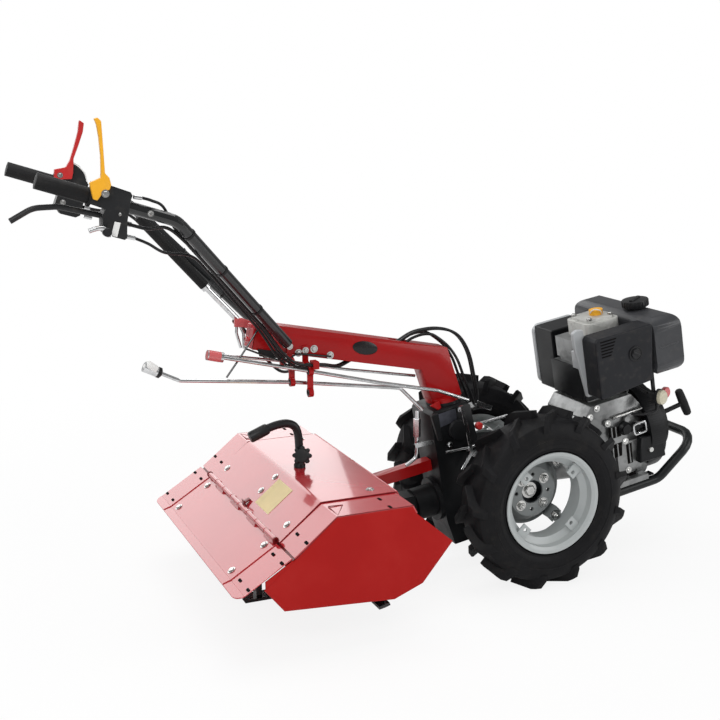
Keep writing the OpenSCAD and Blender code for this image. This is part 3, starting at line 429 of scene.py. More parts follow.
def aim(axis):  # turn that takes Z to the axis
    return Vector(axis).normalized().to_track_quat("Z", "Y").to_matrix().to_4x4()


alongUnit = Matrix.Rotation(-pitch, 3, "Y")
alongBar = Matrix.Rotation(gripSlope, 3, "Y")
rightward, leftward = Vector((0, -1, 0)), Vector((0, 1, 0))


waiting = []  # pieces that are drawn and not yet built


def buildAll():
    while waiting:
        waiting[0].build()


# One visual piece: forms gathered in a bmesh, with one finish, riding on one body
class Piece:
    def __init__(self, name, finish, slot, body="chassis"):
        self.name, self.finish, self.slot, self.body = name, finish, slot, body
        self.bm = bmesh.new()
        waiting.append(self)

    def turned(self, at, axis, profile, steps=24, solid=True):  # (radius, height) in mm, spun about an axis
        if solid:  # closed to the axis at both ends
            profile = [(0, profile[0][1])] + profile + [(0, profile[-1][1])] * (profile[-1][0] > 0)
        turn = Matrix.Translation(at) @ aim(axis)
        verts = [self.bm.verts.new(turn @ Vector((r * mm, 0, h * mm))) for r, h in profile]
        edges = [self.bm.edges.new(pair) for pair in zip(verts, verts[1:])]
        bmesh.ops.spin(self.bm, geom=verts + edges, cent=at, axis=Vector(axis).normalized(), angle=2 * math.pi,
            steps=steps, use_merge=True, use_duplicate=False)
        return self

    def rod(self, start, end, r, steps=14):
        length = (end - start).length / mm
        soft = min(r * 0.25, 1.2)
        return self.turned(start, end - start, [(r - soft, 0), (r, soft), (r, length - soft), (r - soft, length)],
            steps)

    def block(self, at, size, turn=None, soft=1.2):  # box of a size in mm about its middle
        place = Matrix.Translation(at) @ (turn or Matrix.Identity(3)).to_4x4()
        made = bmesh.ops.create_cube(self.bm, size=mm, matrix=place @ Matrix.Diagonal((*size, 1)))
        if soft:
            edges = list({edge for vert in made["verts"] for edge in vert.link_edges})
            bmesh.ops.bevel(self.bm, geom=edges, offset=soft * mm, segments=2, affect="EDGES", profile=0.5,
                material=-1)
        return self

    def sheet(self, corners, depth, soft=0.6, out=(0, -1, 0)):  # flat outline pushed out by a depth in mm
        verts = [self.bm.verts.new(corner) for corner in corners]
        face = self.bm.faces.new(verts)
        face.normal_update()
        push = face.normal * (depth * mm if face.normal.dot(Vector(out)) > 0 else -depth * mm)
        out = bmesh.ops.extrude_face_region(self.bm, geom=[face])
        moved = [item for item in out["geom"] if isinstance(item, bmesh.types.BMVert)]
        bmesh.ops.translate(self.bm, verts=moved, vec=push)
        if soft:
            edges = list({edge for vert in verts + moved for edge in vert.link_edges})
            bmesh.ops.bevel(self.bm, geom=edges, offset=soft * mm, segments=1, affect="EDGES", profile=0.5,
                material=-1)
        return self

    def tube(self, points, r, sides=12, steps=6):  # smooth tube through points
        line = smoothLine(points, steps)
        last, before = None, None
        for i, at in enumerate(line):
            run = (line[min(i + 1, len(line) - 1)] - line[max(i - 1, 0)]).normalized()
            turn = aim(run) if before is None else (before.rotation_difference(run).to_matrix().to_4x4() @ turn)
            before = run
            ring = bmesh.ops.create_circle(self.bm, cap_ends=i in (0, len(line) - 1), segments=sides,
                radius=r * mm, matrix=Matrix.Translation(at) @ turn)["verts"]
            if last:
                for k in range(sides):
                    self.bm.faces.new((last[k], last[(k + 1) % sides], ring[(k + 1) % sides], ring[k]))
            last = ring
        return self

    def bolt(self, at, axis, r=7, head=5, washer=True, steps=6):
        axis = Vector(axis).normalized()
        if washer:
            self.turned(at, axis, [(r * 1.45, 0), (r * 1.45, 1.4)], 20)
        return self.turned(at, axis, [(r, 0), (r, head * 0.8), (r * 0.82, head)], steps)

    def build(self, angle=35):
        waiting.remove(self)
        bmesh.ops.remove_doubles(self.bm, verts=self.bm.verts, dist=0.000002)
        bmesh.ops.recalc_face_normals(self.bm, faces=self.bm.faces)
        mesh = bpy.data.meshes.new(self.name)
        self.bm.to_mesh(mesh)
        self.bm.free()
        mesh.materials.append(finishes[self.finish])
        for face in mesh.polygons:
            face.use_smooth = True
        mesh.set_sharp_from_angle(angle=math.radians(angle))
        obj = bpy.data.objects.new(self.name, mesh)
        scene.collection.objects.link(obj)
        if self.body:
            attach(obj, self.body)
        return obj


def smoothLine(points, steps):
    if steps < 2:
        return list(points)
    line = []
    for i in range(len(points) - 1):
        a, b = points[max(i - 1, 0)], points[i]
        c, d = points[i + 1], points[min(i + 2, len(points) - 1)]
        for k in range(steps):
            s = k / steps
            line.append((2 * b + (c - a) * s + (2 * a - 5 * b + 4 * c - d) * s ** 2
                         + (3 * b - a - 3 * c + d) * s ** 3) / 2)
    return line + [points[-1]]


cableSizes = {"r": 4, "sides": 12, "thinR": 3.4, "thinSides": 10, "ferruleR": 5, "wideFerruleR": 6,
              "tieR": (14, 15.4), "tieLength": 6, "tieShares": (0.3, 0.62, 0.9)}


def makeCables():
    r, sides, thinR, thinSides = (cableSizes[key] for key in ("r", "sides", "thinR", "thinSides"))
    piece = Piece("columnCables", "cableRubber", "black_rubber", None)
    for y in (-6, 6):  # through the beam, out over the leg and down to the gearbox
        piece.tube(through(fromFoot, (-403, y - 68, 146), (-372, y - 58, 140), (-328, y - 30, 128),
            (-285, y - 4, 134), (-255, y, 146), (-190, y, 150), (-140, y, 172), (-100, y, 192), (-62, y, 199),
            (-20, y, 199), (22, y, 188), (53, y, 163), (78, y, 117), (94, y, 54), (105, y, 0), (100, y, -24)), r,
            sides, 5)
    for y in (-16, 16):  # a second pair, closer to the leg
        piece.tube(through(fromFoot, (-128, y, 156), (-116, y, 176), (-81, y, 188), (-50, y, 188), (-28, y, 177),
            (6, y, 149), (34, y, 110), (56, y, 57), (80, y, 4), (88, y, -22)), r, sides, 5)
    cables = piece.build(60)
    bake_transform(cables, "column", "chassis", fromFoot(40, 0, 150), fromFoot(98, 0, -10))
    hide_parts("column_cables")
    piece = Piece("handlebarCables", "cableRubber", "black_rubber", None)
    rightRun = through(onBar, (-1, -109, -4, -36), (-1, -92, -4, -36), (-1, -60, -8, -34)) + through(fromPin,
        (-290, -236, 312), (-240, -214, 272), (-187, -188, 217), (-110, -148, 132), (-30, -108, 46),
        (26, -88, -26), (66, -80, -62), (100, -76, -72), (127, -74, -74))
    leftRun = through(onBar, (1, -116, 4, -40), (1, -96, 4, -40), (1, -60, 6, -36)) + through(fromPin,
        (-290, 232, 310), (-240, 214, 270), (-187, 188, 215), (-110, 148, 130), (-36, 104, 36), (16, 72, -50),
        (60, 34, -104), (84, -20, -94), (104, -58, -74), (127, -62, -74))
    for run in (rightRun, leftRun):
        piece.tube(run, r, sides, 6)
    piece.tube(through(onBar, (-1, -91, -8, 28), (-1, -70, -7, 28), (-1, -38, 4, 22)) + through(fromPin,
        (-272, -226, 312), (-236, -203, 268), (-184, -177, 212), (-108, -137, 126), (-30, -97, 40), (24, -78, -34),
        (64, -70, -70), (100, -66, -82), (127, -66, -82)), thinR, thinSides, 6)
    piece.tube(through(onBar, (-1, -82, -8, -62), (-1, -50, -6, -66), (-1, -5, 8, -76)) + through(fromPin,
        (-226, -194, 240), (-180, -168, 198), (-108, -128, 118), (-30, -88, 30), (22, -68, -44), (62, -60, -78),
        (100, -56, -90), (127, -56, -90)), thinR, thinSides, 6)
    cables = piece.build(60)
    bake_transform(cables, "handlebar", "column", fromPin(-20, 0, 20), fromPin(70, 0, -70))
    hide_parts("handlebar_cables")
    ferrules = Piece("cableFerrules", "zincPlate", "zinc", "handlebar")
    for side in (-1, 1):
        drop = -36 if side < 0 else -40
        ferrules.rod(onBar(side, -111, 8 * side, 25), onBar(side, -91, 8 * side, 28), cableSizes["ferruleR"])
        ferrules.rod(onBar(side, -104, 8 * side, -63), onBar(side, -82, 8 * side, -62), cableSizes["ferruleR"])
        ferrules.rod(onBar(side, -112, -side * 4, drop), onBar(side, -96, -side * 4, drop),
            cableSizes["wideFerruleR"])
    ties = Piece("cableTies", "cableRubber", "black_rubber", "handlebar")
    inner, outer = cableSizes["tieR"]
    length = cableSizes["tieLength"]
    for side in (-1, 1):
        low, high = fromPin(42, side * 90, -8), fromPin(-270, side * 246, 328)  # ends of the straight tube
        axis = (high - low).normalized()
        for share in cableSizes["tieShares"]:
            ties.turned(low.lerp(high, share) - axis * length / 2 * mm, axis,
                [(inner, 0), (outer, 0), (outer, length), (inner, length), (inner, 0)], 24, False)
    buildAll()
    print("cables made")


columnSizes = {"stayR": 2.5, "boltR": 7, "boltHead": 6, "badgeR": 24, "badgeStretch": (1.5, 0.75),
               "badgeSlope": 11.5, "knobR": 13.4, "knobLength": 34, "bushR": (6.5, 9.5), "bushLength": 14}


def makeColumnParts():
    block = Piece("beamBlock", "gripRubber", "black_rubber", "column")
    block.sheet(through(fromFoot, (-548, -31, 193), (-474, -31, 178), (-474, -31, 160), (-544, -31, 173)), 4, 1)
    stay = Piece("beamStay", "blackPaint", "black_paint", "column")
    stay.tube(through(fromFoot, (-544, -34, 247), (-590, -40, 186), (-635, -42, 128)), columnSizes["stayR"], 10, 3)
    stay.tube(through(fromFoot, (-579, -36, 196), (-495, -36, 160), (-463, -36, 162), (-436, -36, 170),
        (-348, -36, 156)), columnSizes["stayR"], 10, 4)
    bolts = Piece("columnBolts", "boltSteel", "zinc", "column")
    for x, z in ((-393, 179), (-436, 172), (-348, 158)):
        bolts.bolt(fromFoot(x, -28, z), rightward, columnSizes["boltR"], columnSizes["boltHead"])
    for x, z in ((-461, 192), (-418, 178)):
        bolts.bolt(fromFoot(x, -32, z), rightward, 6, 5)
    bolts.bolt(fromPin(32, -44, 2), rightward, 9, 7, False)
    badge = Piece("beamBadge", "badgeBlack", "black_plastic", "column")
    slope = tilt(columnSizes["badgeSlope"])
    at, r = fromFoot(-248, -28, 169), columnSizes["badgeR"]
    long, high = columnSizes["badgeStretch"]
    badge.turned(at, rightward, [(r, 0), (r, 1.5), (r - 2, 2.5)], 40)
    for vert in badge.bm.verts:  # the disc is drawn out into an oval along the beam
        off = slope.inverted() @ (vert.co - at)
        vert.co = at + slope @ Vector((off.x * long, off.y, off.z * high))
    knobs = Piece("rodKnobs", "whiteLabel", "cream_plastic", "column")
    r, length = columnSizes["knobR"], columnSizes["knobLength"]
    knobs.turned(fromFoot(-841, -44, 182), fromFoot(-812, -44, 160) - fromFoot(-841, -44, 182),
        [(9, 0), (r, 4), (r, length - 4), (11, length)], 28)
    rings = Piece("rodKnobRings", "cableRubber", "black_rubber", "column")
    rings.turned(fromFoot(-812, -44, 160), fromFoot(-758, -44, 133) - fromFoot(-812, -44, 160),
        [(13.8, 0), (13.8, 8), (8, 12)], 28)
    inner, outer = columnSizes["bushR"]
    wide = columnSizes["bushLength"]
    for x, y, z in ((-461, -44, 151), (-461, -44, 101), (-418, -64, 129), (-418, -64, 73)):
        rings.turned(fromFoot(x - wide / 2, y, z), (1, 0, 0),
            [(inner, 0), (outer, 0), (outer, wide), (inner, wide), (inner, 0)], 24, False)
    plain = Piece("rodKnobRed", "bracketPaint", "red_plastic", "column")
    plain.turned(fromFoot(-690, -64, 196), fromFoot(-655, -64, 187) - fromFoot(-690, -64, 196),
        [(11, 0), (r, 3), (r, length), (9, length + 6)], 28)
    buildAll()
    print("column parts made")


leverSizes = {"camR": 5.5, "camKnobR": 10, "arcR": 1.6, "flangeR": 24, "tubeR": 14.5, "lockGripR": 13.2}


def makeLevers():
    mark = Piece("handlebarBolts", "boltSteel", "zinc", "handlebar")
    for at, r, head in (((-1, -65, -13, 0), 5, 3), ((-1, -177, -34, 15), 6, 4), ((1, -195, -33, 22), 5, 3),
            ((1, -168, -15, -42), 5, 3)):
        mark.bolt(onBar(*at), rightward, r, head)
    mark.bolt(onBar(-1, -132, -22, -20), rightward, 4, 3, False)
    mark.bolt(fromPin(-46, 63, 31), leftward, 6, 5)
    cam = Piece("camLever", "zincPlate", "zinc", "handlebar")
    cam.tube(through(onBar, (-1, -190, -34, -72), (-1, -178, -35, -64), (-1, -164, -36, -58), (-1, -150, -36, -62),
        (-1, -143, -36, -72)), leverSizes["camR"], 14, 4)
    knob = Piece("camKnob", "blackPlastic", "black_plastic", "handlebar")
    r = leverSizes["camKnobR"]
    knob.turned(onBar(-1, -152, -26, -64), rightward, [(r - 1, 0), (r, 3), (r, 15), (r - 2, 17)])
    label = Piece("housingLabel", "whiteLabel", "cream_plastic", "handlebar")
    label.sheet([onBar(-1, x, -22.3, z) for x, z in ((-139, -38), (-139, -70), (-125, -69), (-126, -37))], 0.6, 0)
    arc = Piece("sectorScale", "whiteLabel", "cream_plastic", "handlebar")
    arc.tube([onBar(1, x, -22, z) for x, z in ((-169, 60), (-154, 56), (-135, 44), (-124, 25))],
        leverSizes["arcR"], 8, 4)
    rib = Piece("gripRibs", "gripRubber", "black_rubber", "handlebar")
    axis = (alongBar @ Vector((-1, 0, 0))).normalized()
    r, inner = leverSizes["flangeR"], leverSizes["tubeR"]
    for side in (-1, 1):
        rib.turned(onBar(side, -202, 0, 0), axis, [(inner, -4), (r - 1, -4), (r, -1), (r - 1, 3), (18.2, 4),
            (inner, 4), (inner, -4)], 32, False)
    sleeve = Piece("lockGrip", "gripRubber", "black_rubber", "handlebar")
    sleeve.rod(fromPin(-290.5, 54, 312.5), fromPin(-128, 54, 130), leverSizes["lockGripR"], 24)
    buildAll()
    print("levers dressed")


hoodSlope, flapSlope = Vector((-0.63, 0, 0.78)), Vector((-0.53, 0, 0.85))


def pill(piece, at, out, length, width):  # flat dark oval that stands for a slotted hole
    across, along = Vector((0, 1, 0)), Vector(out).normalized().cross(Vector((0, 1, 0)))
    corners = []
    for turn in turns(20):
        shift = (length - width) / 2 * (1 if math.cos(turn) >= 0 else -1)
        corners.append(at + (across * (math.cos(turn) * width / 2 + shift) + along * math.sin(turn) * width / 2) * mm
                       + Vector(out).normalized() * 0.3 * mm)
    piece.sheet(corners, 0.3, 0, out)


def rounded(line, reach, steps=4):  # corners of a line in x and z drawn round over a reach in mm
    made = [line[0]]
    for before, corner, after in zip(line, line[1:], line[2:]):
        start = corner + (before - corner).normalized() * reach
        end = corner + (after - corner).normalized() * reach
        for k in range(steps + 1):
            s = k / steps
            made.append(start * (1 - s) ** 2 + corner * 2 * s * (1 - s) + end * s ** 2)
    return made + [line[-1]]


def strip(line, thick):  # outline of a bent sheet in x and z, its top side on the line
    under = []
    for i, at in enumerate(line):
        runs = [(line[j + 1] - line[j]).normalized() for j in (i - 1, i) if 0 <= j < len(line) - 1]
        downs = [Vector((-run.y, run.x)) for run in runs]
        down = sum(downs, Vector((0, 0))).normalized()
        under.append(at + down * thick / down.dot(downs[0]))
    return list(line) + under[::-1]


def panel(piece, outline, low, high, soft=0.6):  # outline in x and z, across the width from low to high
    piece.sheet([atAxle(at[0], high, at[1]) for at in outline], high - low, soft)


def flat(*pairs):
    return [Vector(pair) for pair in pairs]


coverSizes = {"thick": 3, "halfCover": 287, "halfHood": 391.6, "creaseReach": 9, "hinge": (-790, 269),
              "knuckles": 8, "knuckleStep": 70, "knuckleLength": 68, "knuckleR": 6.6, "pinR": 4.6, "loopR": 8.5,
              "cornerR": 30, "postR": 15.6, "handleR": 11, "gripR": 15.2, "knobR": 20, "lobes": 8, "lobeR": 6}


def makeCovers():
    thick, half, whole = (coverSizes[key] for key in ("thick", "halfCover", "halfHood"))
    step, length, r = (coverSizes[key] for key in ("knuckleStep", "knuckleLength", "knuckleR"))
    knuckle = [(r - 0.4, 0), (r, 1), (r, length - 1), (r - 0.4, length)]
    starts = [-279 + k * step for k in range(coverSizes["knuckles"])]
    cover = Piece("hoodTop", "hoodPaint", "hood_paint")
    top = rounded(flat((-471, 351), (-674, 351), (-782.7, 263.9)), coverSizes["creaseReach"])
    panel(cover, strip(top, thick), -half, half, 0.8)
    for side in (-1, 1):  # front lip, open where the arm goes in
        panel(cover, strip(flat((-470.8, 350.6), (-459, 329)), thick), *sorted((side * 18, side * half)))
    hinge = Vector(coverSizes["hinge"])
    for low in starts[1::2]:  # every second knuckle is rolled from the cover
        cover.turned(atAxle(hinge.x, low + length, hinge.y), rightward, knuckle, 20)
        panel(cover, flat((-788, 274), (-782.7, 263), (-777, 268)), low, low + length, 0)
    cover = cover.build(20)
    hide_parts("hood_cover")
    flap = Piece("hoodFlap", "hoodPaint", "hood_paint", "flap")
    panel(flap, strip(flat((-787.6, 260.4), (-906, 187)), thick), -whole, whole)
    start, run, corners = Vector((-905.4, 187.2)), Vector((-22.6, -7.2)), []
    for side, sweep in ((1, range(0, 7)), (-1, range(6, -1, -1))):  # rounded lip at the rear
        for k in sweep:
            turn = math.radians(15 * k)
            at = start + run * (0.06 + 0.94 * math.sin(turn))
            corners.append(atAxle(at.x, side * (whole + coverSizes["cornerR"] * (math.cos(turn) - 1)), at.y))
    corners = [atAxle(start.x, whole, start.y)] + corners + [atAxle(start.x, -whole, start.y)]
    flap.sheet(corners, thick, 0.6, (0.3, 0, -0.95))
    for low in starts[::2]:
        flap.turned(atAxle(hinge.x, low + length, hinge.y), rightward, knuckle, 20)
        panel(flap, flat((-795, 265), (-787.6, 259.8), (-797, 254)), low, low + length, 0)
    for side in (-1, 1):  # seam between the flap's middle and its ends
        flap.tube([atAxle(x, side * hoodSizes["seamY"], z) for x,
            z in ((-789, 260.4), (-905, 188.4), (-927, 181))], hoodSizes["seamR"], 8, 1)
    flap = flap.build(20)
    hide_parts("hood_flap")
    rod = Piece("hingePin", "edgePaint", "plate_paint")
    rod.rod(atAxle(hinge.x, half, hinge.y), atAxle(hinge.x, -half, hinge.y), coverSizes["pinR"])
    for side in (-1, 1):
        rod.rod(atAxle(hinge.x, side * half, hinge.y), atAxle(hinge.x, side * (half - 6), hinge.y),
            coverSizes["loopR"], 20)
    rod.block(atAxle(-775, -4, 278), (24, 16, 3), tilt(-28), 0.5)
    rod.block(atAxle(-784, -16, 279), (3, 22, 16), tilt(-20), 0.5)
    rod = rod.build()
    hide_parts("hinge_rod")
    infill = Piece("plateInfill", "platePaint", "plate_paint")
    shadeStrip = Piece("hingeShadeStrip", "edgePaint", "plate_paint")
    for side in (-1, 1):  # side plate carried up to the flap, and a dark strip behind the joint that is painted shade
        panel(infill, flat((-777, 249), (-786, 253.8), (-853, 212.4), (-853, 194), (-786, 243)),
            *sorted((side * 388.2, side * 391.4)), 0.3)
        panel(shadeStrip, strip(flat((-762, 271), (-784, 253.6), (-802, 242.6)), 2), *sorted((side * 262, side * 388)),
            0)
        corners = ((-667, 322, 350), (-630, 322, 348.4), (-667, 384, 347.4), (-667, 322, 349.6))
        shadeStrip.tube([atAxle(x, side * y, z) for x, y, z in corners], 1.2, 8, 1)  # pressed triangle at the crease, drawn as thin dark lines of painted shade
    handle = Piece("depthGrip", "blackPlastic", "black_plastic")
    r = coverSizes["postR"]
    handle.turned(atAxle(-622, 0, 350.6), (0, 0, 1), [(r, 0), (r, 8), (13, 12), (13, 24)], 28)
    handle.tube([atAxle(x, 0, z) for x, z in ((-622, 366), (-622.5, 400), (-625, 440), (-634, 464), (-655, 475),
        (-682, 474.5), (-712, 467))], coverSizes["handleR"], 20, 5)
    r = coverSizes["gripR"]
    handle.turned(atAxle(-708, 0, 468), (-0.93, 0, -0.37), [(11, 0), (r - 1, 3), (r, 9), (r, 50), (13.4, 55),
        (0, 56)], 28)
    facing = Vector((-0.5, -0.8, 0.2)).normalized()
    middle = atAxle(-617, -12, 386)
    r, lobeR = coverSizes["knobR"], coverSizes["lobeR"]
    handle.turned(middle, facing, [(12, 0), (r, 3), (r, 13), (r - 3, 16), (0, 17)], 28)
    for turn in turns(coverSizes["lobes"]):  # lobes of the star knob
        lobe = aim(facing).to_3x3() @ Vector((math.cos(turn), math.sin(turn), 0)) * r * mm
        handle.turned(middle + lobe + facing * 2 * mm, facing,
            [(lobeR - 1, 0), (lobeR, 1.5), (lobeR, 11), (lobeR - 1, 12.5), (0, 13)], 14)
    handle = handle.build()
    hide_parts("depth_handle")
    buildAll()
    print("covers made")


hoodSizes = {"boltY": 250, "boltR": 7.5, "slotY": (318, 380), "slot": (20, 8), "seamY": 288.2, "seamR": 1.5,
             "edgeY": 391.5, "edgeR": 1.4, "lipY": 389, "lipR": 3.4}


def makeHood():
    boltY, boltR, slotY, slot = (hoodSizes[key] for key in ("boltY", "boltR", "slotY", "slot"))
    bolts = Piece("hoodBolts", "boltSteel", "zinc")
    flapBolts = Piece("flapBolts", "boltSteel", "zinc", "flap")
    slots = Piece("hoodSlots", "darkHole", "black_paint")
    flapSlots = Piece("flapSlots", "darkHole", "black_paint", "flap")
    for side in (-1, 1):
        bolts.bolt(atAxle(-748, side * boltY, 291), hoodSlope, boltR, 5, True, 16)
        bolts.bolt(atAxle(-526, side * boltY, 351), (0, 0, 1), boltR, 5, True, 16)
        for x, z in ((-808, 248), (-892, 195.5)):
            flapBolts.bolt(atAxle(x, side * boltY, z), flapSlope, boltR, 5, True, 16)
            for y in slotY:
                pill(flapSlots, atAxle(x, side * y, z), flapSlope, *slot)
        for y in slotY:
            pill(slots, atAxle(-746, side * y, 289.5), hoodSlope, *slot)
            pill(slots, atAxle(-530, side * y, 348), (0, 0, 1), *slot)
    for x, z in ((-694, 335), (-734, 303)):
        bolts.bolt(atAxle(x, -9, z), hoodSlope, 7, 5, True, 16)
    label = Piece("hoodLabel", "paleLabel", "hood_paint")
    label.sheet(through(atAxle, (-760, -34, 282.3), (-760, -138, 282.3), (-692, -138, 337.1), (-692, -34, 337.1)),
        0.5, 0, hoodSlope)
    # dark red lines along the hood's seams and outer edges are painted shade where the panels step
    seam = Piece("hoodSeamShade", "edgePaint", "plate_paint")
    lip = Piece("plateLips", "platePaint", "plate_paint")  # rolled edge under each side plate
    for piece, y, r, sides, line in ((seam, hoodSizes["seamY"], hoodSizes["seamR"], 8,
            ((-474, 350), (-673, 350), (-781, 261))), (seam, hoodSizes["edgeY"], hoodSizes["edgeR"], 8,
            ((-473, 347), (-672, 347), (-777, 258))), (lip, hoodSizes["lipY"], hoodSizes["lipR"], 10,
            ((-853, 193), (-806, 134), (-522, 115), (-447, 144), (-366, 241)))):
        for side in (-1, 1):
            piece.tube([atAxle(x, side * y, z) for x, z in line], r, sides, 1)
    buildAll()
    print("hood dressed")


wheelSizes = {"faceY": 166, "tyreY": 216, "nuts": 4, "innerNuts": (50, 10.4, 15), "outerNuts": (110, 10.2, 14),
              "studR": 5, "hubNutR": 16, "valveR": 4, "bandSteps": 72}


def makeWheels():
    for side, name in ((-1, "right"), (1, "left")):
        out = Vector((0, side, 0))
        face = axle + Vector((0, side * wheelSizes["faceY"] * mm, 0))
        nuts = Piece(f"wheelNuts_{name}", "boltSteel", "zinc", f"wheel_{name}")
        for turn in turns(wheelSizes["nuts"], 45):
            spoke = Vector((math.cos(turn), 0, math.sin(turn)))
            for ring, r, stud in (wheelSizes["innerNuts"], wheelSizes["outerNuts"]):
                at = face + spoke * ring * mm
                nuts.bolt(at, out, r, 10)
                nuts.rod(at, at + out * stud * mm, wheelSizes["studR"])
        nuts.bolt(face + out * -18 * mm, out, wheelSizes["hubNutR"], 10)
        bead = Piece(f"tyreBands_{name}", "tyreRubber", "tyre", f"wheel_{name}")
        middle = axle + Vector((0, side * wheelSizes["tyreY"] * mm, 0))
        for wall in (-out, out):  # moulded bands round both sidewalls
            for away, band in ((53, [(146, 0), (147, 3.2), (151, 3.6), (153, 0)]),
                    (61.5, [(164, 0), (165, 2.8), (168, 3), (170, 0)]),
                    (64, [(180, 0), (181, 1.6), (184, 1.6), (186, 0)])):
                bead.turned(middle + wall * away * mm, wall, band, wheelSizes["bandSteps"], False)
        valve = Piece(f"valve_{name}", "cableRubber", "black_rubber", f"wheel_{name}")
        valve.rod(axle + Vector((0.088, side * 0.205, 0.088)), axle + Vector((0.075, side * 0.232, 0.075)),
            wheelSizes["valveR"])
    buildAll()
    print("wheels dressed")


def unitTurned(piece, x, y, z, axis, profile, steps=28):
    piece.turned(onUnit(x, y, z), alongUnit @ Vector(axis), profile, steps)


def unitSheet(piece, y, corners, depth, soft=0.6):  # outline in the unit's x and z, facing right
    piece.sheet([onUnit(x, y, z) for x, z in corners], depth, soft)


engineSizes = {"boltR": 6.5, "coverBoltR": 6, "vents": 6, "ventStep": 8.6, "ventHeight": 3.6, "knobR": 21,
               "capRibs": 24, "capR": 37.4, "hoseR": 4, "loopR": 3.6, "seamR": 3, "slats": 7, "slatStep": 19.5,
               "recoilSlots": 20, "recoilR": 74, "gripR": 13.4, "ribWide": 4}


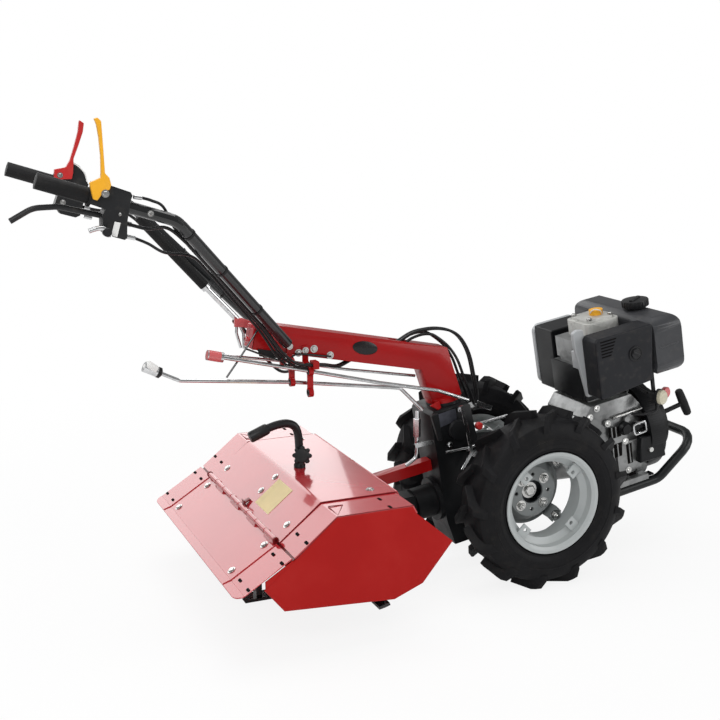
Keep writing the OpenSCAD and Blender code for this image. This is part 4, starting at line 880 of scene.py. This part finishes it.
def makeEngine():
    up, toRight = alongUnit @ Vector((0, 0, 1)), (0, -1, 0)
    steel = Piece("engineBolts", "boltSteel", "zinc")
    for x, z in ((300, 90), (300, -60), (245, 60), (352, -70), (352, 20)):
        steel.bolt(onUnit(x, -110, z), rightward, engineSizes["boltR"], 5)
    unitTurned(steel, 419, -134, -19, toRight, [(9, 0), (9, 2), (7, 5)], 24)
    for x, y in ((322, 40), (322, -40), (394, 40), (394, -40)):
        steel.bolt(onUnit(x, y, 384), up, engineSizes["coverBoltR"], 5)
    for x, z in ((250, 120), (276, 140)):
        steel.bolt(onUnit(x, -99, z), rightward, 7, 5)
    steel.tube(through(onUnit, (318, -106, 100), (370, -107, 101), (420, -106, 103)), 5, 12, 3)
    bracket = Piece("engineBrackets", "caseBlack", "cast_black")
    unitSheet(bracket, -110, ((353, 45), (381, 69), (428, 68), (430, 47), (388, 45)), 5)
    unitSheet(bracket, -108, ((393, 25), (464, 20), (470, -54), (379, -52)), 26, 3)
    bracket.block(onUnit(256, 4, 212), (5, 160, 100), alongUnit)
    unitSheet(bracket, -74, ((258, 261), (322, 261), (318, 196), (300, 160), (258, 160)), 4)
    unitTurned(bracket, 350, -108, 62, toRight, [(20, 0), (20, 10), (14, 16), (14, 22)], 20)
    unitSheet(bracket, -70, ((261, 223), (307, 210), (301, 161), (262, 181)), 5)
    bracket.block(onUnit(368, -120, -97), (108, 26, 5), alongUnit)
    # dark sheets on the crankcase are painted shade in its recesses
    shadeSheets = Piece("caseShadeSheets", "darkHole", "cast_black")
    for corners in (((300, 75), (345, 70), (340, 40), (298, 40)), ((296, 18), (340, 22), (336, -20), (292, -20)),
            ((300, -75), (340, -72), (338, -95), (300, -95)), ((352, -82), (376, -80), (376, -98), (354, -98)),
            ((404, 88), (446, 90), (450, 74), (408, 72)), ((352, 8), (372, 10), (370, -52), (352, -52))):
        unitSheet(shadeSheets, -109.6, corners, 0.8, 0)
    ribs = Piece("caseRibs", "bareCasting", "cast_bare")
    for x, z, height in ((308, 57, 34), (322, 57, 34), (306, 0, 40), (322, 0, 40), (318, -85, 22), (361, -20, 58)):
        ribs.block(onUnit(x, -110, z), (engineSizes["ribWide"], 8, height), alongUnit, 1)
    for x, z, r in ((300, 90, 11), (300, -60, 11), (245, 60, 11), (352, -70, 11), (352, 20, 11), (366, 84, 9),
            (440, 52, 10)):
        unitTurned(ribs, x, -104, z, toRight, [(r + 1.5, 0), (r, 7)], 24)
    loop = Piece("caseLoop", "zincPlate", "zinc")
    loop.tube([onUnit(x, -122, z) for x, z in ((384, 34), (416, 36), (420, 42), (418, 62), (412, 67), (382, 65),
        (377, 59), (378, 40), (384, 34))], engineSizes["loopR"], 10, 3)
    loop.rod(onUnit(397, -106, 66), onUnit(397, -124, 66), 5)
    loop.rod(onUnit(397, -106, 35), onUnit(397, -124, 35), 5)
    knob = Piece("cleanerKnob", "blackPlastic", "black_plastic")
    r = engineSizes["knobR"]
    unitTurned(knob, 356, -200, 305, toRight, [(r, 0), (r, 3), (r - 2.5, 3), (r - 2.5, 1.6), (r - 6, 1.6),
        (r - 7, 6)], 32)
    knob.block(onUnit(356, -207, 305), (26, 3, 6), alongUnit @ tilt(35), 1)
    vents = Piece("cleanerVents", "darkHole", "black_plastic")
    for k in range(engineSizes["vents"]):  # each slot is shorter than the one above it
        z, end = 366 - k * engineSizes["ventStep"], 300 - k * 4
        low = z - engineSizes["ventHeight"]
        unitSheet(vents, -200.2, ((247, z), (end, z), (end - 2, low), (248, low)), 0.4, 0)
    seam = Piece("tankSeam", "tankPlastic", "tank_plastic")
    line = []
    for x, y in ((427, -186), (440, -199), (502, -199), (515, -186), (515, 186), (502, 199), (440, 199), (427, 186)):
        line.append(onUnit(x, y, 300))
    seam.tube(line + [line[0]], engineSizes["seamR"], 8, 1)
    cap = Piece("fuelCapRibs", "blackPlastic", "black_plastic")
    r = engineSizes["capR"]
    for turn in turns(engineSizes["capRibs"]):
        cap.block(onUnit(475 + r * math.cos(turn), -50 + r * math.sin(turn), 398), (3, 3, 17),
            alongUnit @ Matrix.Rotation(turn, 3, "Z"), 0.6)
    cap.block(onUnit(475, -50, 409), (52, 12, 8), alongUnit @ Matrix.Rotation(0.5, 3, "Z"), 2.5)
    pull = Piece("starterPull", "gripRubber", "black_rubber")
    pull.rod(onUnit(514, -80, 56), onUnit(586, -80, 64), 7)
    line = [onUnit(573, -80, 108), onUnit(599, -80, 26)]
    length = (line[1] - line[0]).length / mm
    r = engineSizes["gripR"]
    pull.turned(line[0], line[1] - line[0], [(9, 0), (11.5, 3), (12.5, 14), (r, length / 2), (12.5, length - 14),
        (11.5, length - 3), (9, length)], 24)
    pull = pull.build()
    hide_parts("starter_grip")
    glass = Piece("filterBowl", "creamPlastic", "cream_plastic")
    unitTurned(glass, 450, -158, 140, (0.42, -0.9, 0), [(20, 0), (21, 2), (21, 12), (16, 17), (0, 18)], 32)
    glass = glass.build()
    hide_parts("fuel_filter")
    ring = Piece("filterBody", "blackPlastic", "black_plastic")
    unitTurned(ring, 438, -132, 140, (0.42, -0.9, 0), [(18, 0), (18, 22), (24, 24), (24, 31)], 32)
    ring.rod(onUnit(443, -142, 150), onUnit(443, -142, 213), 6)
    pale = Piece("filterCap", "bracketPaint", "cream_plastic")
    unitTurned(pale, 502, -104, 128, (0.4, -0.9, 0), [(14, 0), (16, 3), (16, 14), (12, 17)])
    hose = Piece("fuelHoses", "cableRubber", "black_rubber")
    hose.tube(through(onUnit, (443, -150, 120), (440, -148, 100), (410, -130, 92), (380, -112, 98)),
        engineSizes["hoseR"], 12, 6)
    hose.tube(through(onUnit, (443, -132, 146), (420, -122, 160), (400, -100, 190), (396, -70, 240)),
        engineSizes["hoseR"], 12, 6)
    loop = Piece("capLoop", "whiteLabel", "cream_plastic")
    loop.tube(through(onUnit, (380, -18, 384), (368, -30, 398), (352, -24, 404), (350, -6, 392), (362, 4, 384)),
        1.5, 8, 6)
    slats = Piece("mufflerSlats", "darkHole", "silver_cover")
    for k in range(engineSizes["slats"]):
        slats.block(onUnit(288 + k * engineSizes["slatStep"], 206.3, 244), (7, 1, 130), alongUnit, 0)
    recoil = Piece("recoilSlots", "darkHole", "black_plastic")
    r = engineSizes["recoilR"]
    for turn in turns(engineSizes["recoilSlots"]):
        recoil.block(onUnit(514.2, r * math.cos(turn), 20 + r * math.sin(turn)), (0.8, 30, 8),
            alongUnit @ Matrix.Rotation(turn, 3, "X"), 0)
    buildAll()
    print("engine dressed")


gearSizes = {"springR": 10, "rodR": 6, "linkR": 4, "boltR": 7, "pulleyR": 27, "buttonR": 11, "plugs": 8,
             "plugRing": 74}


def makeGearbox():
    zinc = Piece("gearLinkage", "zincPlate", "zinc")
    zinc.rod(onUnit(-276, -60, 186), onUnit(-258, -60, 278), gearSizes["rodR"])
    zinc.rod(onUnit(-272, -60, 206), onUnit(-263, -60, 258), gearSizes["springR"], 6)
    zinc.tube(through(onUnit, (-276, -60, 186), (-279, -60, 168), (-286, -60, 150), (-302, -60, 142),
        (-319, -60, 136)), 5, 12, 5)
    unitSheet(zinc, -72, ((-288, 194), (-262, 194), (-232, 190), (-232, 178), (-266, 180), (-288, 182)), 4)
    unitSheet(zinc, -76, ((-140, 262), (-130, 262), (-123, 174), (-120, 120), (-158, 80), (-166, 84), (-131, 122),
        (-134, 174)), 5)
    zinc.rod(onUnit(-202, -76, 145), onUnit(-123, -76, 136), gearSizes["linkR"])
    zinc.rod(onUnit(-123, -76, 136), onUnit(-95, -76, 137), gearSizes["linkR"])
    for x, z in ((-183, 160), (-126, 130), (-134, 250), (-113, 113), (-70, 60), (-40, 70)):
        zinc.bolt(onUnit(x, -70, z), rightward, gearSizes["boltR"], 6)
    unitSheet(zinc, -22, ((-64, 227), (-58, 242), (-17, 215), (-22, 203)), 6)
    zinc.rod(onUnit(-76, -30, 177), onUnit(26, -30, 174), 5)
    dark = Piece("gearCovers", "ironBlack", "cast_black")
    r = gearSizes["pulleyR"]
    dark.turned(onUnit(-151, -60, 194), rightward, [(r, 0), (r, 5), (r - 5, 8), (r - 5, 13), (r, 16), (r, 20),
        (10, 22)], 32)
    unitSheet(dark, -64, ((-227, 258), (-206, 260), (-205, 182), (-217, 180)), 14, 2)
    plate = Piece("gearPlate", "greyPlate", "zinc")
    unitSheet(plate, -61, ((-210, 251), (-204, 212), (-147, 219), (-146, 253)), 1, 0)
    red = Piece("gearRedParts", "redPlastic", "red_plastic")
    r = gearSizes["buttonR"]
    red.turned(onUnit(-76, -38, 177), rightward, [(r - 2, 0), (r, 3), (r, 12), (r - 3, 15)])
    clevis = Piece("gearClevis", "beamPaint", "red_paint")
    unitSheet(clevis, -54, ((-220, 281), (-190, 286), (-187, 266), (-198, 262)), 8, 2)
    drain = Piece("gearPlugs", "boltSteel", "zinc")
    r = gearSizes["plugRing"]
    for turn in turns(gearSizes["plugs"], 22):
        drain.bolt(onUnit(101, r * math.cos(turn), 20 + r * math.sin(turn)), alongUnit @ Vector((-1, 0, 0)), 6, 5)
    buildAll()
    print("gearbox dressed")


makeCables()
makeColumnParts()
makeLevers()
makeHood()
makeCovers()
makeWheels()
makeEngine()
makeGearbox()


light = {"world": 0.3, "key": 92, "fill": 48, "back": 66, "top": 56, "floorSeen": 0.86, "fadeStart": 1.2,
    "fadeEnd": 2.6, "floorR": 24}


def makeLamp(name, at, target, size, power):
    data = bpy.data.lights.new(name, "AREA")
    data.shape = "RECTANGLE"
    data.size, data.size_y = size
    data.energy = power
    obj = bpy.data.objects.new(name, data)
    obj.location = at
    obj.rotation_euler = (Vector(target) - Vector(at)).to_track_quat("-Z", "Y").to_euler()
    scene.collection.objects.link(obj)


def makeStudio():
    world = bpy.data.worlds.new("studio")
    scene.world = world
    world.use_nodes = True
    tree = world.node_tree
    tree.nodes.clear()
    rays = tree.nodes.new("ShaderNodeLightPath")
    lit = tree.nodes.new("ShaderNodeBackground")
    lit.inputs["Strength"].default_value = light["world"]
    lit.inputs["Color"].default_value = (1, 1, 1, 1)
    seen = tree.nodes.new("ShaderNodeBackground")
    seen.inputs["Color"].default_value = (1, 1, 1, 1)
    both = tree.nodes.new("ShaderNodeMath")
    both.operation = "MAXIMUM"
    mix = tree.nodes.new("ShaderNodeMixShader")
    end = tree.nodes.new("ShaderNodeOutputWorld")
    for source, into in ((rays.outputs["Is Camera Ray"], both.inputs[0]),
            (rays.outputs["Is Transmission Ray"], both.inputs[1]), (both.outputs[0], mix.inputs[0]),
            (lit.outputs[0], mix.inputs[1]), (seen.outputs[0], mix.inputs[2]),
            (mix.outputs[0], end.inputs["Surface"])):
        tree.links.new(source, into)
    makeLamp("keyLight", (-2.6, -3.4, 3.2), (0, 0, 0.4), (2.6, 2.0), light["key"])
    makeLamp("fillLight", (3.2, -2.6, 1.8), (0.2, 0, 0.4), (2.4, 2.0), light["fill"])
    makeLamp("backPanel", (-0.9, 3.9, 2.1), (-0.3, 0, 0.5), (5.2, 2.4), light["back"])
    makeLamp("topLight", (-0.2, 0.2, 3.6), (0, 0, 0.4), (3.0, 2.4), light["top"])


def makeFloor():
    finish = Finish("studioFloor")
    rays = finish.node("ShaderNodeLightPath")
    far = finish.node("ShaderNodeVectorMath", {"operation": "LENGTH"}, {0: finish.place})
    fade = Sock(finish, far.outputs["Value"]).step(light["fadeStart"], light["fadeEnd"])
    seen = Sock(finish, rays.outputs["Is Camera Ray"])
    white = finish.node("ShaderNodeEmission", {}, {"Color": (1, 1, 1, 1), "Strength": 1.0})
    finish.set(Base_Color=(0.93, 0.93, 0.93, 1), Roughness=0.9, Specular_IOR_Level=0.1)
    near = light["floorSeen"]
    mix = finish.node("ShaderNodeMixShader", {}, {0: seen * (near + fade * (1 - near)),
        1: finish.shader.outputs[0], 2: white.outputs[0]})
    finish.feed(finish.end.inputs["Surface"], mix.outputs[0])
    bm = bmesh.new()
    bmesh.ops.create_circle(bm, cap_ends=True, segments=64, radius=light["floorR"])
    mesh = bpy.data.meshes.new("studioFloor")
    bm.to_mesh(mesh)
    bm.free()
    floor = bpy.data.objects.new("studioFloor", mesh)
    mesh.materials.append(finish.mat)
    scene.collection.objects.link(floor)


makeStudio()
makeFloor()
scene.view_settings.view_transform = "Standard"
print("studio made")
